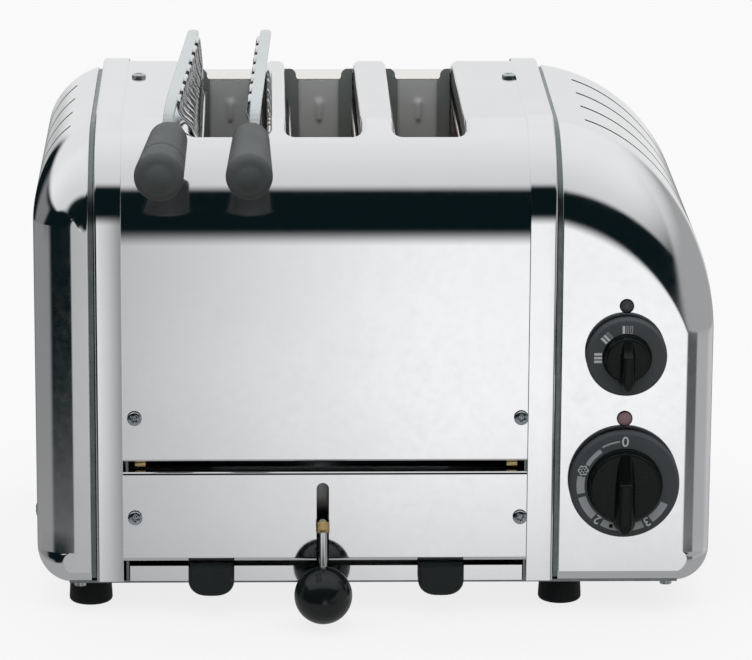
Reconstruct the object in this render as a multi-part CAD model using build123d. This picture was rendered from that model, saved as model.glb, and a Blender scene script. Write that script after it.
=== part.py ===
from build123d import *
import math
import os

# A three-slot toaster in millimetres. Lengths are first laid out from the middle of the body:
# X to the right, Y from front to back, Z up from the table. export() then moves everything
# along Y, so that the origin lies under the middle of the whole outline.

# Body
body_width = 310.0
body_depth = 210.0
body_top = 224.0
foot_height = 14.0

# Cover: one bent sheet over the front, the top and the back
sheet = 1.2
left_end_width = 35.0
right_end_width = 80.0
shoulder = 50.0
cover_front_bottom = 74.0
cover_rear_bottom = 24.7

# End castings: outline corners seen from the front, and the rounding towards front and back
casting_drop = 1.0
casting_wall = 3.0
right_corner_rise = 90.0
left_corner_rise = 40.0
foot_corner = 15.0
shoulder_round_depth = 57.0
shoulder_round_rise = 39.0
side_round = 13.0
bottom_round = 5.0
section_count = 6
corner_ease = 1.3
loft_floor = 0.5

# Louvres cut in the end castings
louvre_width = 1.6
louvre_pitch = 30.0
louvre_count = 4
louvre_inset = 21.0
right_louvre_end = 44.0
left_louvre_end = 105.0

# Bands that hide the joint between the cover and the castings
band_width = 13.1
band_on_cover = 5.2
band_proud = 1.5
band_bottom = 16.0
band_seat_gap = 0.1
band_round = 2.5

# Toast slots
slot_length = 152.0
slot_width = 35.0
slot_corner = 4.0
slot_lip = 11.0
slot_offsets = (-44.0, 0.0, 49.0)

# Lower front panel and the crumb tray
panel_top = 68.1
panel_bottom = 24.7
panel_lip = 9.0
tray_side_gap = 0.5
tray_front_inset = 0.8
tray_top = 22.8
tray_bottom = 15.6
tray_length = 196.0
tray_wall = 0.9
tray_grip_width = 21.0
tray_grip_spacing = 105.3
tray_grip_reach = 6.0
tray_grip_bottom = 9.7
tray_grip_rise = 1.5
tray_grip_round = 7.0

# Frame inside
plate = 1.2
inner_plate_reach = 80.0
inner_plate_bottom = 26.5
inner_plate_top = 207.0
panel_screw_high = 93.5
panel_screw_low = 46.2
screw_inset = 4.2
top_screw_back = 28.0
tab_size = 14.0

# Lift: carriage, lever and its knob
lift_travel = 17.0
lever_offset = -1.1
lever_slot_width = 5.7
lever_slot_top = 62.7
lever_bar_height = 42.2
lever_bar_diameter = 5.0
stem_diameter = 3.8
stem_stand_out = 0.6
stem_end = 4.0
ferrule_diameter = 6.2
ferrule_length = 5.0
lever_bar_reach = 3.5
ball_diameter = 26.4
ball_height = 15.6
ball_reach = 21.0
rack_height = 88.0
rack_thickness = 3.0
rack_width = 8.0
rack_clearance = 1.0
rack_stand_out = 6.0
shelf_rise = 16.0
shelf_overhang = 6.0
rod_stand_out = 1.5
carriage_reach = 90.0
carriage_bottom = 36.0
guide_rod_diameter = 5.0
guide_rod_spacing = 46.0
bush_size = 7.6
bush_length = 14.0
bush_rise = 6.0

# Heating elements and wire guards
element_thickness = 1.4
element_gap = 4.0
element_bottom = 96.0
element_top = 204.0
element_row_pitch = 12.0
element_row_height = 1.5
element_row_rise = 0.5
element_row_inset = 8.0
guard_wire = 1.6
guard_offset = 15.4
guard_count = 9
guard_low_inset = 4.0
guard_high_inset = 1.0

# Controls on the right casting
controls_inset = 41.0
timer_height = 63.3
timer_skirt_diameter = 50.6
timer_hub_diameter = 34.0
timer_unit_size = 44.0
timer_unit_depth = 30.0
selector_height = 123.5
selector_skirt_diameter = 37.0
selector_hub_diameter = 21.0
selector_switch_size = 26.0
selector_switch_depth = 22.0
unit_round = 2.0
shaft_depth = 6.0
knob_skirt = 5.0
knob_hub = 4.0
knob_grip = 9.0
knob_stand_off = 2.0
knob_edge = 0.8
grip_bar_share = 0.1
grip_bar_inset = 3.0
shaft_diameter = 6.0
lower_lamp_height = 93.0
lower_lamp_diameter = 7.2
upper_lamp_height = 146.0
upper_lamp_diameter = 6.6
lamp_proud = 1.2
lens_round = 0.9
lamp_collar = 1.5
lamp_collar_end = 5.0
gland_height = 40.0
gland_diameter = 16.0
gland_neck = 12.0
gland_edge = 1.2
gland_reach = 5.0
inlet_bore = 8.0
terminal_inset = 30.0
terminal_width = 30.0
terminal_depth = 18.0
terminal_height = 16.0

# Screws
screw_head = 6.7
screw_head_rise = 1.9
screw_shank = 3.0
screw_length = 7.0
side_screw_height = 36.5
side_screw_reach = 60.0
side_screw_head = 6.5
base_screw_inset = 20.0
base_screw_reach = 98.5
base_screw_head = 5.5
screw_boss = 8.0
screw_boss_top = 16.0

# Feet
foot_diameter = 20.0
left_foot_inset = 24.3
right_foot_inset = 68.0
foot_reach = 83.0
foot_recess = 9.0
foot_floor = 5.0

# Sandwich cage standing in the first slot
cage_grid_offset = 12.0
cage_wire = 2.0
cage_wire_pitch = 17.0
cage_wire_count = 8
cage_strip_width = 6.0
cage_strip_thickness = 1.8
cage_strip_height = 234.0
cage_left_strip = -24.6
cage_right_strip = 12.8
cage_strip_front = 105.0
cage_strip_back = 73.0
cage_askew = 2.1
cage_left_turn = 3.0
cage_right_turn = 2.0
cage_groove = 1.2
cage_groove_depth = 0.8
cage_groove_place = 26.0
cage_tang = 4.5
cage_tang_start = 10.0
cage_tang_neck = 3.0
cage_tang_depth = 14.0
cage_tang_overlap = 0.8
cage_bend_rise = 3.0
cage_cross_drop = 20.0
cage_cross_overhang = 3.0
cage_pin_reach = 5.0
cage_eye = 6.0
cage_grip_front = 190.0
cage_grip_length = 80.0
cage_grip_height = 225.2
cage_grip_thick = 22.4
cage_grip_thin = 17.0
cage_grip_round = 2.5
cage_hinge_wire = 2.4

# Clearances
fit = 0.1
running = 0.05
seat = 0.3

half_width = body_width / 2
half_depth = body_depth / 2
cover_left = half_width - left_end_width
cover_right = half_width - right_end_width
cover_middle = (cover_right - cover_left) / 2
slot_centres = [cover_middle + offset for offset in slot_offsets]
lever_x = cover_middle + lever_offset
controls_x = half_width - controls_inset
base_screw_x = half_width - base_screw_inset
left_foot_x = left_foot_inset - half_width
right_foot_x = half_width - right_foot_inset
casting_top = body_top - casting_drop
rear_reach = half_depth + gland_reach
centre_shift = (cage_grip_front - rear_reach) / 2
cage_x = slot_centres[0]
frame_left = -(cover_left - band_on_cover - plate)
frame_right = cover_right - band_on_cover - plate
tray_width = frame_right - frame_left - plate - 2 * tray_side_gap
tray_front = tray_front_inset - half_depth
tray_middle = (frame_left + frame_right + plate) / 2
inner_front = half_depth - sheet
base_top = foot_height + plate
rack_top = rack_height + rack_thickness
upper_shelf = rack_top + lift_travel + shelf_rise


def arch(plane, reach, top, round_depth, round_rise, bottom):
    """A face as deep as the body: upright sides, a flat top and two elliptical shoulders."""
    flat = reach - round_depth
    left = Line((-reach, bottom), (-reach, top - round_rise))
    left_corner = EllipticalCenterArc((-flat, top - round_rise), round_depth, round_rise, 90)
    across = Line((-flat, top), (flat, top))
    right_corner = EllipticalCenterArc((flat, top - round_rise), round_depth, round_rise, 0)
    right = Line((reach, top - round_rise), (reach, bottom))
    close = Line((reach, bottom), (-reach, bottom))
    outline = Wire([left, left_corner, across, right_corner, right, close])
    return plane.location * Face(outline)


def upright(x):
    return Plane(origin=(x, 0, 0), x_dir=(0, 1, 0), z_dir=(1, 0, 0))


def tilted(x, z, angle):
    """The plane through the line at x, z that leans outward from upright by the angle."""
    lean = math.radians(angle)
    return Plane(origin=(x, 0, z), x_dir=(0, 1, 0), z_dir=(math.cos(lean), 0, -math.sin(lean)))


def block(x_low, x_high, y_low, y_high, z_low, z_high):
    size = (x_high - x_low, y_high - y_low, z_high - z_low)
    middle = ((x_low + x_high) / 2, (y_low + y_high) / 2, (z_low + z_high) / 2)
    return Pos(*middle) * Box(*size)


def rod(start, end, diameter):
    """A round rod from start to end."""
    line = Vector(*end) - Vector(*start)
    plane = Plane(origin=start, z_dir=line)
    return extrude(plane * Circle(diameter / 2), line.length)


def tube(start, end, outer, bore):
    return rod(start, end, outer) - rod(start, end, bore)


def mirrored(shape):
    return mirror(shape, Plane.YZ)


def pan_screw(seat_point, direction, head=screw_head):
    """A cross-head screw: its head stands on the seat point and its shank goes the other way."""
    outward = Vector(*direction).normalized()
    point = Vector(*seat_point)
    plane = Plane(origin=point, z_dir=outward)
    head_body = extrude(plane * Circle(head / 2), screw_head_rise)
    shank = extrude(plane * Circle(screw_shank / 2), -screw_length)
    slot_size = (head * 0.62, head * 0.16, screw_head_rise)
    recess_at = plane.location * Pos(0, 0, screw_head_rise)
    cross = recess_at * Box(*slot_size) + recess_at * Rot(0, 0, 90) * Box(*slot_size)
    return head_body + shank - cross


def grouped(shapes):
    return Compound(children=[solid for shape in shapes for solid in shape.solids()])


def export(node, shape):
    export_step(Pos(0, centre_shift, 0) * shape, "parts/" + node + ".step")


def outline_reach(half_x, rise, angle):
    """Distance from the corner's centre to its elliptical outline."""
    lean = math.radians(angle)
    return half_x * rise / math.hypot(rise * math.sin(lean), half_x * math.cos(lean))


def casting_corner(inner_x, rise, inset):
    """The large upper corner, lofted round the line where its outline has its centre."""
    half_x = half_width - inner_x
    sections = []
    for step in range(section_count + 1):
        angle = 90 * step / section_count
        reach = outline_reach(half_x, rise, angle) - inset
        share = math.cos(math.radians(angle)) ** corner_ease
        depth_round = side_round + (shoulder_round_depth - side_round) * share
        rise_round = side_round + (shoulder_round_rise - side_round) * (1 - angle / 90)
        rise_round = min(rise_round - inset, reach - 1)
        plane = tilted(inner_x, casting_top - rise, angle)
        face = arch(plane, half_depth - inset, reach, depth_round - inset, rise_round, loft_floor)
        sections.append(face)
    return loft(sections)


def casting_foot(inset):
    """The lower outer corner, lofted in the same way from the side to the underside."""
    sections = []
    for step in range(section_count + 1):
        angle = 90 + 90 * step / section_count
        edge_round = side_round + (bottom_round - side_round) * step / section_count
        plane = tilted(half_width - foot_corner, foot_height + foot_corner, angle)
        edge_round = max(edge_round - inset, 1.0)
        face = arch(plane, half_depth - inset, foot_corner - inset, edge_round, edge_round,
                    casting_wall / 4)
        sections.append(face)
    return loft(sections)


def casting_body(inner_x, rise, inset):
    """Upper corner, upright side, lower corner and the stretch below it, in one solid."""
    pivot_z = casting_top - rise
    low_z = foot_height + foot_corner
    low_x = half_width - foot_corner
    reach = half_depth - inset
    edge_round = side_round - inset
    side_face = arch(tilted(inner_x, pivot_z, 90), reach, half_width - inner_x - inset,
                     edge_round, edge_round, 0)
    side = extrude(side_face, pivot_z - low_z, dir=(0, 0, -1))
    low = block(inner_x, low_x, -reach, reach, foot_height + inset, low_z)
    core = block(inner_x, inner_x + casting_wall, -reach, reach, pivot_z - 1,
                 pivot_z + casting_wall)
    low_core = block(low_x - 1, low_x + casting_wall, -reach, reach, low_z - casting_wall,
                     low_z + 1)
    corner = casting_corner(inner_x, rise, inset)
    return corner + side + low + core + low_core + casting_foot(inset)


def end_casting(inner_x, rise, louvre_end):
    """A hollow casting, open towards the middle and underneath, built on the right-hand side."""
    shell = casting_body(inner_x, rise, 0) - casting_body(inner_x, rise, casting_wall)
    neck = band_width - band_on_cover + fit
    around = block(inner_x - 1, inner_x + neck, -half_depth - 9, half_depth + 9, 1, body_top + 9)
    shell -= around - band_seat(inner_x - 1, neck + 1, 0)
    wall_inside = half_depth - casting_wall
    low_x = half_width - foot_corner
    shell -= block(inner_x - 1, low_x, -wall_inside, wall_inside, foot_height - 1,
                   foot_height + foot_corner)
    louvre_start = inner_x + louvre_inset * (half_width - inner_x) / (half_width - cover_right)
    for index in range(louvre_count):
        y = (index - (louvre_count - 1) / 2) * louvre_pitch
        shell -= block(louvre_start, half_width + 1, y - louvre_width / 2, y + louvre_width / 2,
                       louvre_end, body_top)
    for y in (-side_screw_reach, side_screw_reach):
        shell -= rod((half_width - 2 * casting_wall, y, side_screw_height),
                     (half_width + 1, y, side_screw_height), screw_shank + 2 * fit)
    for y in (-base_screw_reach, base_screw_reach):
        boss = tube((base_screw_x, y, base_top + fit), (base_screw_x, y, base_top + screw_boss_top),
                    screw_boss, screw_shank + 2 * fit)
        within = block(base_screw_x - screw_boss, base_screw_x + screw_boss, -wall_inside - 1,
                       wall_inside + 1, 0, body_top)
        shell += boss & within
    return shell


def right_end_casting():
    shell = end_casting(cover_right, right_corner_rise, right_louvre_end)
    front = -half_depth
    holes = ((timer_height, shaft_diameter), (selector_height, shaft_diameter),
             (lower_lamp_height, lower_lamp_diameter), (upper_lamp_height, upper_lamp_diameter))
    for height, diameter in holes:
        shell -= rod((controls_x, front - 1, height),
                     (controls_x, front + 2 * casting_wall, height), diameter + 2 * fit)
    shell -= rod((controls_x, half_depth - 2 * casting_wall, gland_height),
                 (controls_x, half_depth + 1, gland_height), gland_neck + 2 * fit)
    return shell


def left_end_casting():
    return mirrored(end_casting(cover_left, left_corner_rise, left_louvre_end))


def band(edge_x, side):
    """An arch of strip over the joint at edge_x; side is 1 on the right and -1 on the left."""
    x_low = edge_x - band_on_cover if side == 1 else edge_x + band_on_cover - band_width
    outer_face = arch(upright(x_low), half_depth + band_proud, body_top + band_proud,
                      shoulder + band_round, shoulder_round_rise + band_round, band_bottom)
    solid = extrude(outer_face, band_width, dir=(1, 0, 0))
    return solid - band_seat(x_low, band_width, band_seat_gap)


def band_seat(x_low, width, gap):
    """Everything inside the arch that a band rests on."""
    face = arch(upright(x_low), half_depth + gap, body_top + gap, shoulder,
                shoulder_round_rise + casting_drop, 0)
    return extrude(face, width, dir=(1, 0, 0))


def cover_arch(inset, x_low, x_high, bottom):
    face = arch(upright(x_low), half_depth - inset, body_top - inset, shoulder - inset,
                shoulder - inset, bottom)
    return extrude(face, x_high - x_low, dir=(1, 0, 0))


def cover_screw_points():
    """Seat point and outward direction of each screw on the cover."""
    points = []
    for x in (frame_left + screw_inset, frame_right - screw_inset + plate):
        points.append(((x, -half_depth, panel_screw_high), (0, -1, 0)))
        points.append(((x, half_depth, panel_screw_high), (0, 1, 0)))
        points.append(((x, half_depth, panel_screw_low), (0, 1, 0)))
        points.append(((x, top_screw_back, body_top), (0, 0, 1)))
    return points


def panel_screw_points():
    points = []
    for x in (frame_left + screw_inset, frame_right - screw_inset + plate):
        points.append(((x, -half_depth, panel_screw_low), (0, -1, 0)))
    return points


def screw_holes(points):
    """Clearance holes for screws at these points, deep enough for sheet and tab."""
    holes = []
    for point, direction in points:
        outward = Vector(*direction)
        start = Vector(*point) + outward
        end = Vector(*point) - outward * (screw_length + 1)
        holes.append(rod(tuple(start), tuple(end), screw_shank + 2 * fit))
    return grouped(holes)


def top_cover():
    x_low = -cover_left + fit
    x_high = cover_right - fit
    shell = cover_arch(0, x_low, x_high, cover_rear_bottom)
    shell -= cover_arch(sheet, x_low, x_high, cover_rear_bottom)
    shell -= block(x_low - 1, x_high + 1, -half_depth - 1, 0, 0, cover_front_bottom)
    envelope = cover_arch(0, x_low, x_high, cover_rear_bottom)
    for centre in slot_centres:
        place = Pos(centre, 0, body_top - slot_lip)
        outline = RectangleRounded(slot_width, slot_length, slot_corner)
        around = RectangleRounded(slot_width + 2 * sheet, slot_length + 2 * sheet,
                                  slot_corner + sheet)
        opening = place * extrude(outline, 2 * slot_lip)
        lip = place * extrude(around, 2 * slot_lip)
        shell += (lip & envelope) - opening
        shell -= opening
    for hole in screw_holes(cover_screw_points()).solids():
        shell -= hole
    return shell


def front_lower_panel():
    x_low = -cover_left + fit
    x_high = cover_right - fit
    front = -half_depth
    panel = block(x_low, x_high, front, front + sheet, panel_bottom, panel_top)
    for z in (panel_bottom, panel_top - sheet):
        panel += block(frame_left + 2 * plate, frame_right - plate, front, front + panel_lip,
                       z, z + sheet)
    half_slot = lever_slot_width / 2
    slot_low = block(lever_x - half_slot, lever_x + half_slot, front - 1, front + 2 * panel_lip,
                     panel_bottom - 1, lever_slot_top - half_slot)
    slot_end = rod((lever_x, front - 1, lever_slot_top - half_slot),
                   (lever_x, front + 2 * sheet, lever_slot_top - half_slot), lever_slot_width)
    panel = panel - slot_low - slot_end
    for hole in screw_holes(panel_screw_points()).solids():
        panel -= hole
    return panel


def frame_plate(x_low, inward):
    """A side plate of the frame with tabs for the screws; inward is 1 when the tabs point to +X."""
    shape = cover_arch(sheet + seat, x_low, x_low + plate, base_top)
    tab_low = x_low if inward == 1 else x_low + plate - tab_size
    tab_high = tab_low + tab_size
    reach = inner_front - seat
    half_tab = tab_size / 2
    for y_low in (-reach, reach - plate):
        for height in (panel_screw_high, panel_screw_low):
            shape += block(tab_low, tab_high, y_low, y_low + plate, height - half_tab,
                           height + half_tab)
    tab_top = body_top - sheet - seat
    shape += block(tab_low, tab_high, top_screw_back - half_tab, top_screw_back + half_tab,
                   tab_top - plate, tab_top)
    for hole in screw_holes(cover_screw_points() + panel_screw_points()).solids():
        shape -= hole
    return shape


def inner_plate(y_low, bottom):
    """A plate across the frame that closes the slots; the racks run through it."""
    shape = block(frame_left + plate + fit, frame_right - fit, y_low, y_low + plate, bottom,
                  inner_plate_top)
    half_gate = rack_width / 2 + rack_clearance
    for centre in slot_centres:
        shape -= block(centre - half_gate, centre + half_gate, y_low - 1, y_low + plate + 1,
                       rack_height - rack_clearance, rack_top + lift_travel + 2 * rack_clearance)
    return shape


def guide_rod_places():
    y = -carriage_reach + plate + running + bush_size / 2
    return [(lever_x + side * guide_rod_spacing / 2, y) for side in (-1, 1)]


def front_inner_plate():
    y_low = -inner_plate_reach
    shape = inner_plate(y_low, inner_plate_bottom)
    ledge_reach = carriage_reach + shelf_overhang
    for z in (inner_plate_bottom, upper_shelf):
        shape += block(lever_x - guide_rod_spacing, lever_x + guide_rod_spacing, -ledge_reach,
                       y_low, z, z + plate)
    for x, y in guide_rod_places():
        shape -= rod((x, y, 0), (x, y, upper_shelf + 2 * plate), guide_rod_diameter + 2 * running)
    return shape


def rear_inner_plate():
    return inner_plate(inner_plate_reach - plate, inner_plate_bottom)


def base_plate():
    reach = half_depth - casting_wall - fit
    edge = half_width - foot_corner - fit
    shape = block(-edge, edge, -reach, reach, foot_height, base_top)
    for x, y in foot_places():
        shape -= rod((x, y, 0), (x, y, base_top + 1), screw_shank + 2 * fit)
    for y in (-base_screw_reach, base_screw_reach):
        for x in (-base_screw_x, base_screw_x):
            shape -= rod((x, y, 0), (x, y, base_top + 1), screw_shank + 2 * fit)
    return shape


def foot_places():
    return [(x, y) for x in (left_foot_x, right_foot_x) for y in (-foot_reach, foot_reach)]


def feet():
    shapes = []
    for x, y in foot_places():
        foot = rod((x, y, 0), (x, y, foot_height), foot_diameter)
        foot = chamfer(foot.edges().group_by(Axis.Z)[0], 1.0)
        foot -= rod((x, y, 0), (x, y, foot_height - foot_floor), foot_recess)
        foot -= rod((x, y, 0), (x, y, foot_height), screw_shank + 2 * fit)
        shapes.append(foot)
    return grouped(shapes)


def foot_screws():
    seat_z = foot_height - foot_floor
    return grouped([pan_screw((x, y, seat_z), (0, 0, -1)) for x, y in foot_places()])


def base_screws():
    """Screws up through the base plate into the castings."""
    shapes = []
    for x in (-base_screw_x, base_screw_x):
        for y in (-base_screw_reach, base_screw_reach):
            shapes.append(pan_screw((x, y, foot_height), (0, 0, -1), base_screw_head))
    return grouped(shapes)


def side_screws():
    shapes = []
    for side in (-1, 1):
        for y in (-side_screw_reach, side_screw_reach):
            point = (side * half_width, y, side_screw_height)
            shapes.append(pan_screw(point, (side, 0, 0), side_screw_head))
    return grouped(shapes)


def crumb_tray():
    """A shallow tray with a front strip that runs on the base plate."""
    x_low = tray_middle - tray_width / 2
    x_high = tray_middle + tray_width / 2
    back = tray_front + tray_length
    tray = block(x_low, x_high, tray_front, back, tray_bottom, tray_top)
    tray -= block(x_low + tray_wall, x_high - tray_wall, tray_front + tray_wall, back - tray_wall,
                  tray_bottom + tray_wall, tray_top + 1)
    return tray


def tray_grips():
    shapes = []
    grip_top = tray_top + tray_grip_rise
    height = grip_top + tray_grip_round - tray_grip_bottom
    for side in (-1, 1):
        x = tray_middle + side * tray_grip_spacing / 2
        outline = RectangleRounded(tray_grip_width, height, tray_grip_round)
        face = Pos(x, 0, tray_grip_bottom + height / 2) * Rot(90, 0, 0) * outline
        grip = extrude(face, tray_grip_reach)
        grip = Pos(0, tray_front - grip.bounding_box().max.Y, 0) * grip
        grip -= block(x - tray_grip_width, x + tray_grip_width, -body_depth, 0, grip_top, body_top)
        shapes.append(grip)
    return grouped(shapes)


def guide_rods():
    bottom = inner_plate_bottom - rod_stand_out
    top = upper_shelf + plate + rod_stand_out
    places = guide_rod_places()
    return grouped([rod((x, y, bottom), (x, y, top), guide_rod_diameter) for x, y in places])


def carriage_plate():
    """The upright plate behind the front panel that carries the racks and the lever bar."""
    y = -carriage_reach
    x_low = slot_centres[0] - rack_width
    x_high = slot_centres[-1] + rack_width
    return block(x_low, x_high, y, y + plate, carriage_bottom, rack_top + rack_thickness)


def lift_bushes():
    z = carriage_bottom + bush_rise
    half = bush_size / 2
    bore = guide_rod_diameter + 3 * running
    shapes = []
    for x, y in guide_rod_places():
        body = block(x - half, x + half, y - half, y + half, z, z + bush_length)
        shapes.append(body - rod((x, y, z), (x, y, z + bush_length), bore))
    return grouped(shapes)


def bread_racks():
    y_low = -carriage_reach + plate + running
    shapes = []
    y_high = inner_plate_reach + rack_stand_out
    for centre in slot_centres:
        shapes.append(block(centre - rack_width / 2, centre + rack_width / 2, y_low, y_high,
                            rack_height, rack_top))
    return grouped(shapes)


def lever_line():
    """Start of the stem at the lever bar, and the middle of the ball."""
    ball_y = -half_depth - ball_reach
    start = Vector(lever_x, -half_depth - lever_bar_reach, lever_bar_height)
    return start, Vector(lever_x, ball_y, ball_height)


def lever_bar():
    start, ball = lever_line()
    bar = rod((lever_x, -carriage_reach - running, lever_bar_height),
              (lever_x, start.Y, lever_bar_height), lever_bar_diameter)
    along = (ball - start).normalized()
    socket = rod(tuple(start - along * ferrule_length), tuple(start + along * ferrule_length * 2),
                 ferrule_diameter + 2 * fit)
    return (bar - socket).solids().sort_by(Axis.Y)[-1]


def lever_stem():
    start, ball = lever_line()
    along = (ball - start).normalized()
    top = start - along * (ferrule_length / 2 + stem_stand_out)
    end = ball - along * stem_end
    return rod(tuple(top), tuple(end), stem_diameter)


def lever_ferrule():
    start, ball = lever_line()
    along = (ball - start).normalized()
    return tube(tuple(start - along * ferrule_length / 2), tuple(start + along * ferrule_length / 2),
                ferrule_diameter, stem_diameter + 2 * running)


def lever_ball():
    start, ball = lever_line()
    along = (ball - start).normalized()
    bore = rod(tuple(ball - along * ball_diameter), tuple(ball - along * (stem_end - seat)),
               stem_diameter + 2 * running)
    return Pos(*tuple(ball)) * Sphere(ball_diameter / 2) - bore


def element_places():
    """One element beside each slot: outside the first and the last, and between the others."""
    outside = slot_width / 2 + element_gap
    places = [slot_centres[0] - outside]
    for before, after in zip(slot_centres, slot_centres[1:]):
        places.append((before + after) / 2)
    places.append(slot_centres[-1] + outside)
    return places


def heating_element(x):
    """A mica card with its flat heating wire in raised rows on both faces."""
    reach = inner_plate_reach - plate - seat
    half_card = element_thickness / 2
    card = block(x - half_card, x + half_card, -reach, reach, element_bottom, element_top)
    row_count = int((element_top - element_bottom) / element_row_pitch)
    half_row = half_card + element_row_rise
    row_reach = reach - element_row_inset
    for row in range(row_count):
        z = element_bottom + (row + 0.5) * element_row_pitch
        card += block(x - half_row, x + half_row, -row_reach, row_reach, z, z + element_row_height)
    return card


def bread_guards():
    """Wire guards along both long sides of every slot."""
    reach = inner_plate_reach - plate - seat
    shapes = []
    low = element_bottom + guard_low_inset
    high = element_top - guard_high_inset
    spread = 2 * (reach - element_row_inset)
    for centre in slot_centres:
        for side in (-1, 1):
            x = centre + side * guard_offset
            guard = rod((x, -reach, low), (x, reach, low), guard_wire)
            guard += rod((x, -reach, high), (x, reach, high), guard_wire)
            for index in range(guard_count):
                y = (index / (guard_count - 1) - 0.5) * spread
                guard += rod((x, y, low), (x, y, high), guard_wire * 0.85)
            shapes.append(guard)
    return grouped(shapes)


def turned_knob(height, skirt_diameter, hub_diameter):
    """A knob with a flat skirt for the markings, a raised hub and a grip bar across it."""
    rear = -half_depth - knob_stand_off
    skirt = rod((controls_x, rear, height), (controls_x, rear - knob_skirt, height), skirt_diameter)
    skirt = chamfer(skirt.edges().group_by(Axis.Y)[0], knob_edge)
    hub_face = rear - knob_skirt - knob_hub
    hub = rod((controls_x, rear, height), (controls_x, hub_face, height), hub_diameter)
    bar_half = skirt_diameter * grip_bar_share
    bar_top = hub_diameter / 2 - 1
    bar_bottom = skirt_diameter / 2 - grip_bar_inset
    bar = block(controls_x - bar_half, controls_x + bar_half, rear - knob_skirt - knob_grip, rear,
                height - bar_bottom, height + bar_top)
    bar = fillet(bar.edges().filter_by(Axis.Y), bar_half * 0.8)
    return skirt + hub + bar


def knob_bore(height):
    return rod((controls_x, -half_depth, height),
               (controls_x, -half_depth - knob_stand_off - knob_skirt, height), shaft_diameter + 2 * running)


def timer_knob():
    knob = turned_knob(timer_height, timer_skirt_diameter, timer_hub_diameter)
    return knob - knob_bore(timer_height)


def selector_knob():
    knob = turned_knob(selector_height, selector_skirt_diameter, selector_hub_diameter)
    return knob - knob_bore(selector_height)


def control_shaft(height):
    """The shaft that turns with a knob, from inside the unit to inside the knob."""
    inner_end = -half_depth + casting_wall + shaft_depth
    outer_end = -half_depth - knob_stand_off - knob_skirt + seat
    return rod((controls_x, inner_end, height), (controls_x, outer_end, height), shaft_diameter)


def control_unit(height, size, depth):
    """A closed housing behind the casting's front wall, with a bore for its shaft."""
    front = -half_depth + casting_wall + fit
    half = size / 2
    body = block(controls_x - half, controls_x + half, front, front + depth, height - half,
                 height + half)
    body = fillet(body.edges().filter_by(Axis.Y), unit_round)
    bore_end = -half_depth + casting_wall + shaft_depth + seat
    return body - rod((controls_x, front - 1, height), (controls_x, bore_end, height),
                      shaft_diameter + 2 * running)


def lamp(height, diameter):
    """A round lens through the front wall with a collar behind it."""
    behind = -half_depth + casting_wall + fit
    lens = rod((controls_x, -half_depth - lamp_proud, height), (controls_x, behind, height),
               diameter)
    lens = fillet(lens.edges().group_by(Axis.Y)[0], lens_round)
    collar = rod((controls_x, behind, height), (controls_x, behind + lamp_collar_end, height),
                 diameter + 2 * lamp_collar)
    return lens + collar


def cord_inlet():
    """The gland in the rear wall where the mains lead would enter."""
    y = half_depth
    collar = rod((controls_x, y + fit, gland_height), (controls_x, y + gland_reach, gland_height),
                 gland_diameter)
    collar = chamfer(collar.edges().group_by(Axis.Y)[-1], gland_edge)
    neck = rod((controls_x, y - 2 * casting_wall, gland_height), (controls_x, y + 1, gland_height),
               gland_neck)
    bore = rod((controls_x, 0, gland_height), (controls_x, body_depth, gland_height), inlet_bore)
    return collar + neck - bore


def terminal_block():
    back = half_depth - casting_wall - terminal_inset
    half = terminal_width / 2
    return block(controls_x - half, controls_x + half, back - terminal_depth, back, base_top + fit,
                 base_top + terminal_height)


def strip_point(side, y):
    """The middle of a cage strip at this depth; both strips run a little askew."""
    middle = cage_left_strip if side == -1 else cage_right_strip
    middle_y = (cage_strip_back - cage_strip_front) / 2
    return cage_x + middle + (y - middle_y) * math.tan(math.radians(cage_askew))


def cage_bottom():
    return rack_top + seat + cage_eye / 2


def cage_strip(side):
    """The flat strip along the top of one cage half."""
    length = cage_strip_front + cage_strip_back
    strip = Box(cage_strip_width, length, cage_strip_thickness)
    strip = fillet(strip.edges().filter_by(Axis.Z).sort_by(Axis.Y)[-2:], cage_strip_width * 0.45)
    middle_y = (cage_strip_back - cage_strip_front) / 2
    place = Pos(strip_point(side, middle_y), middle_y, cage_strip_height)
    return place * Rot(0, 0, -cage_askew) * strip


def grip_ends(side):
    """Far and near end of a grip's middle line."""
    far_y = -cage_grip_front + cage_grip_length
    far = Vector(strip_point(side, far_y), far_y, cage_grip_height)
    turn = -cage_left_turn if side == -1 else cage_right_turn
    near = Vector(far.X + turn, -cage_grip_front, cage_grip_height)
    return far, near


def tang(side):
    """The round tang from a strip's front end down into its grip."""
    far, near = grip_ends(side)
    along = (near - far).normalized()
    start_y = cage_tang_start - cage_strip_front
    start = (strip_point(side, start_y), start_y, cage_strip_height)
    bend = far - along * cage_tang_neck
    slope = rod(start, tuple(bend), cage_tang)
    straight = rod(tuple(bend - along * cage_tang_overlap), tuple(far + along * cage_tang_depth),
                   cage_tang * 0.96)
    return slope + straight


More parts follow.
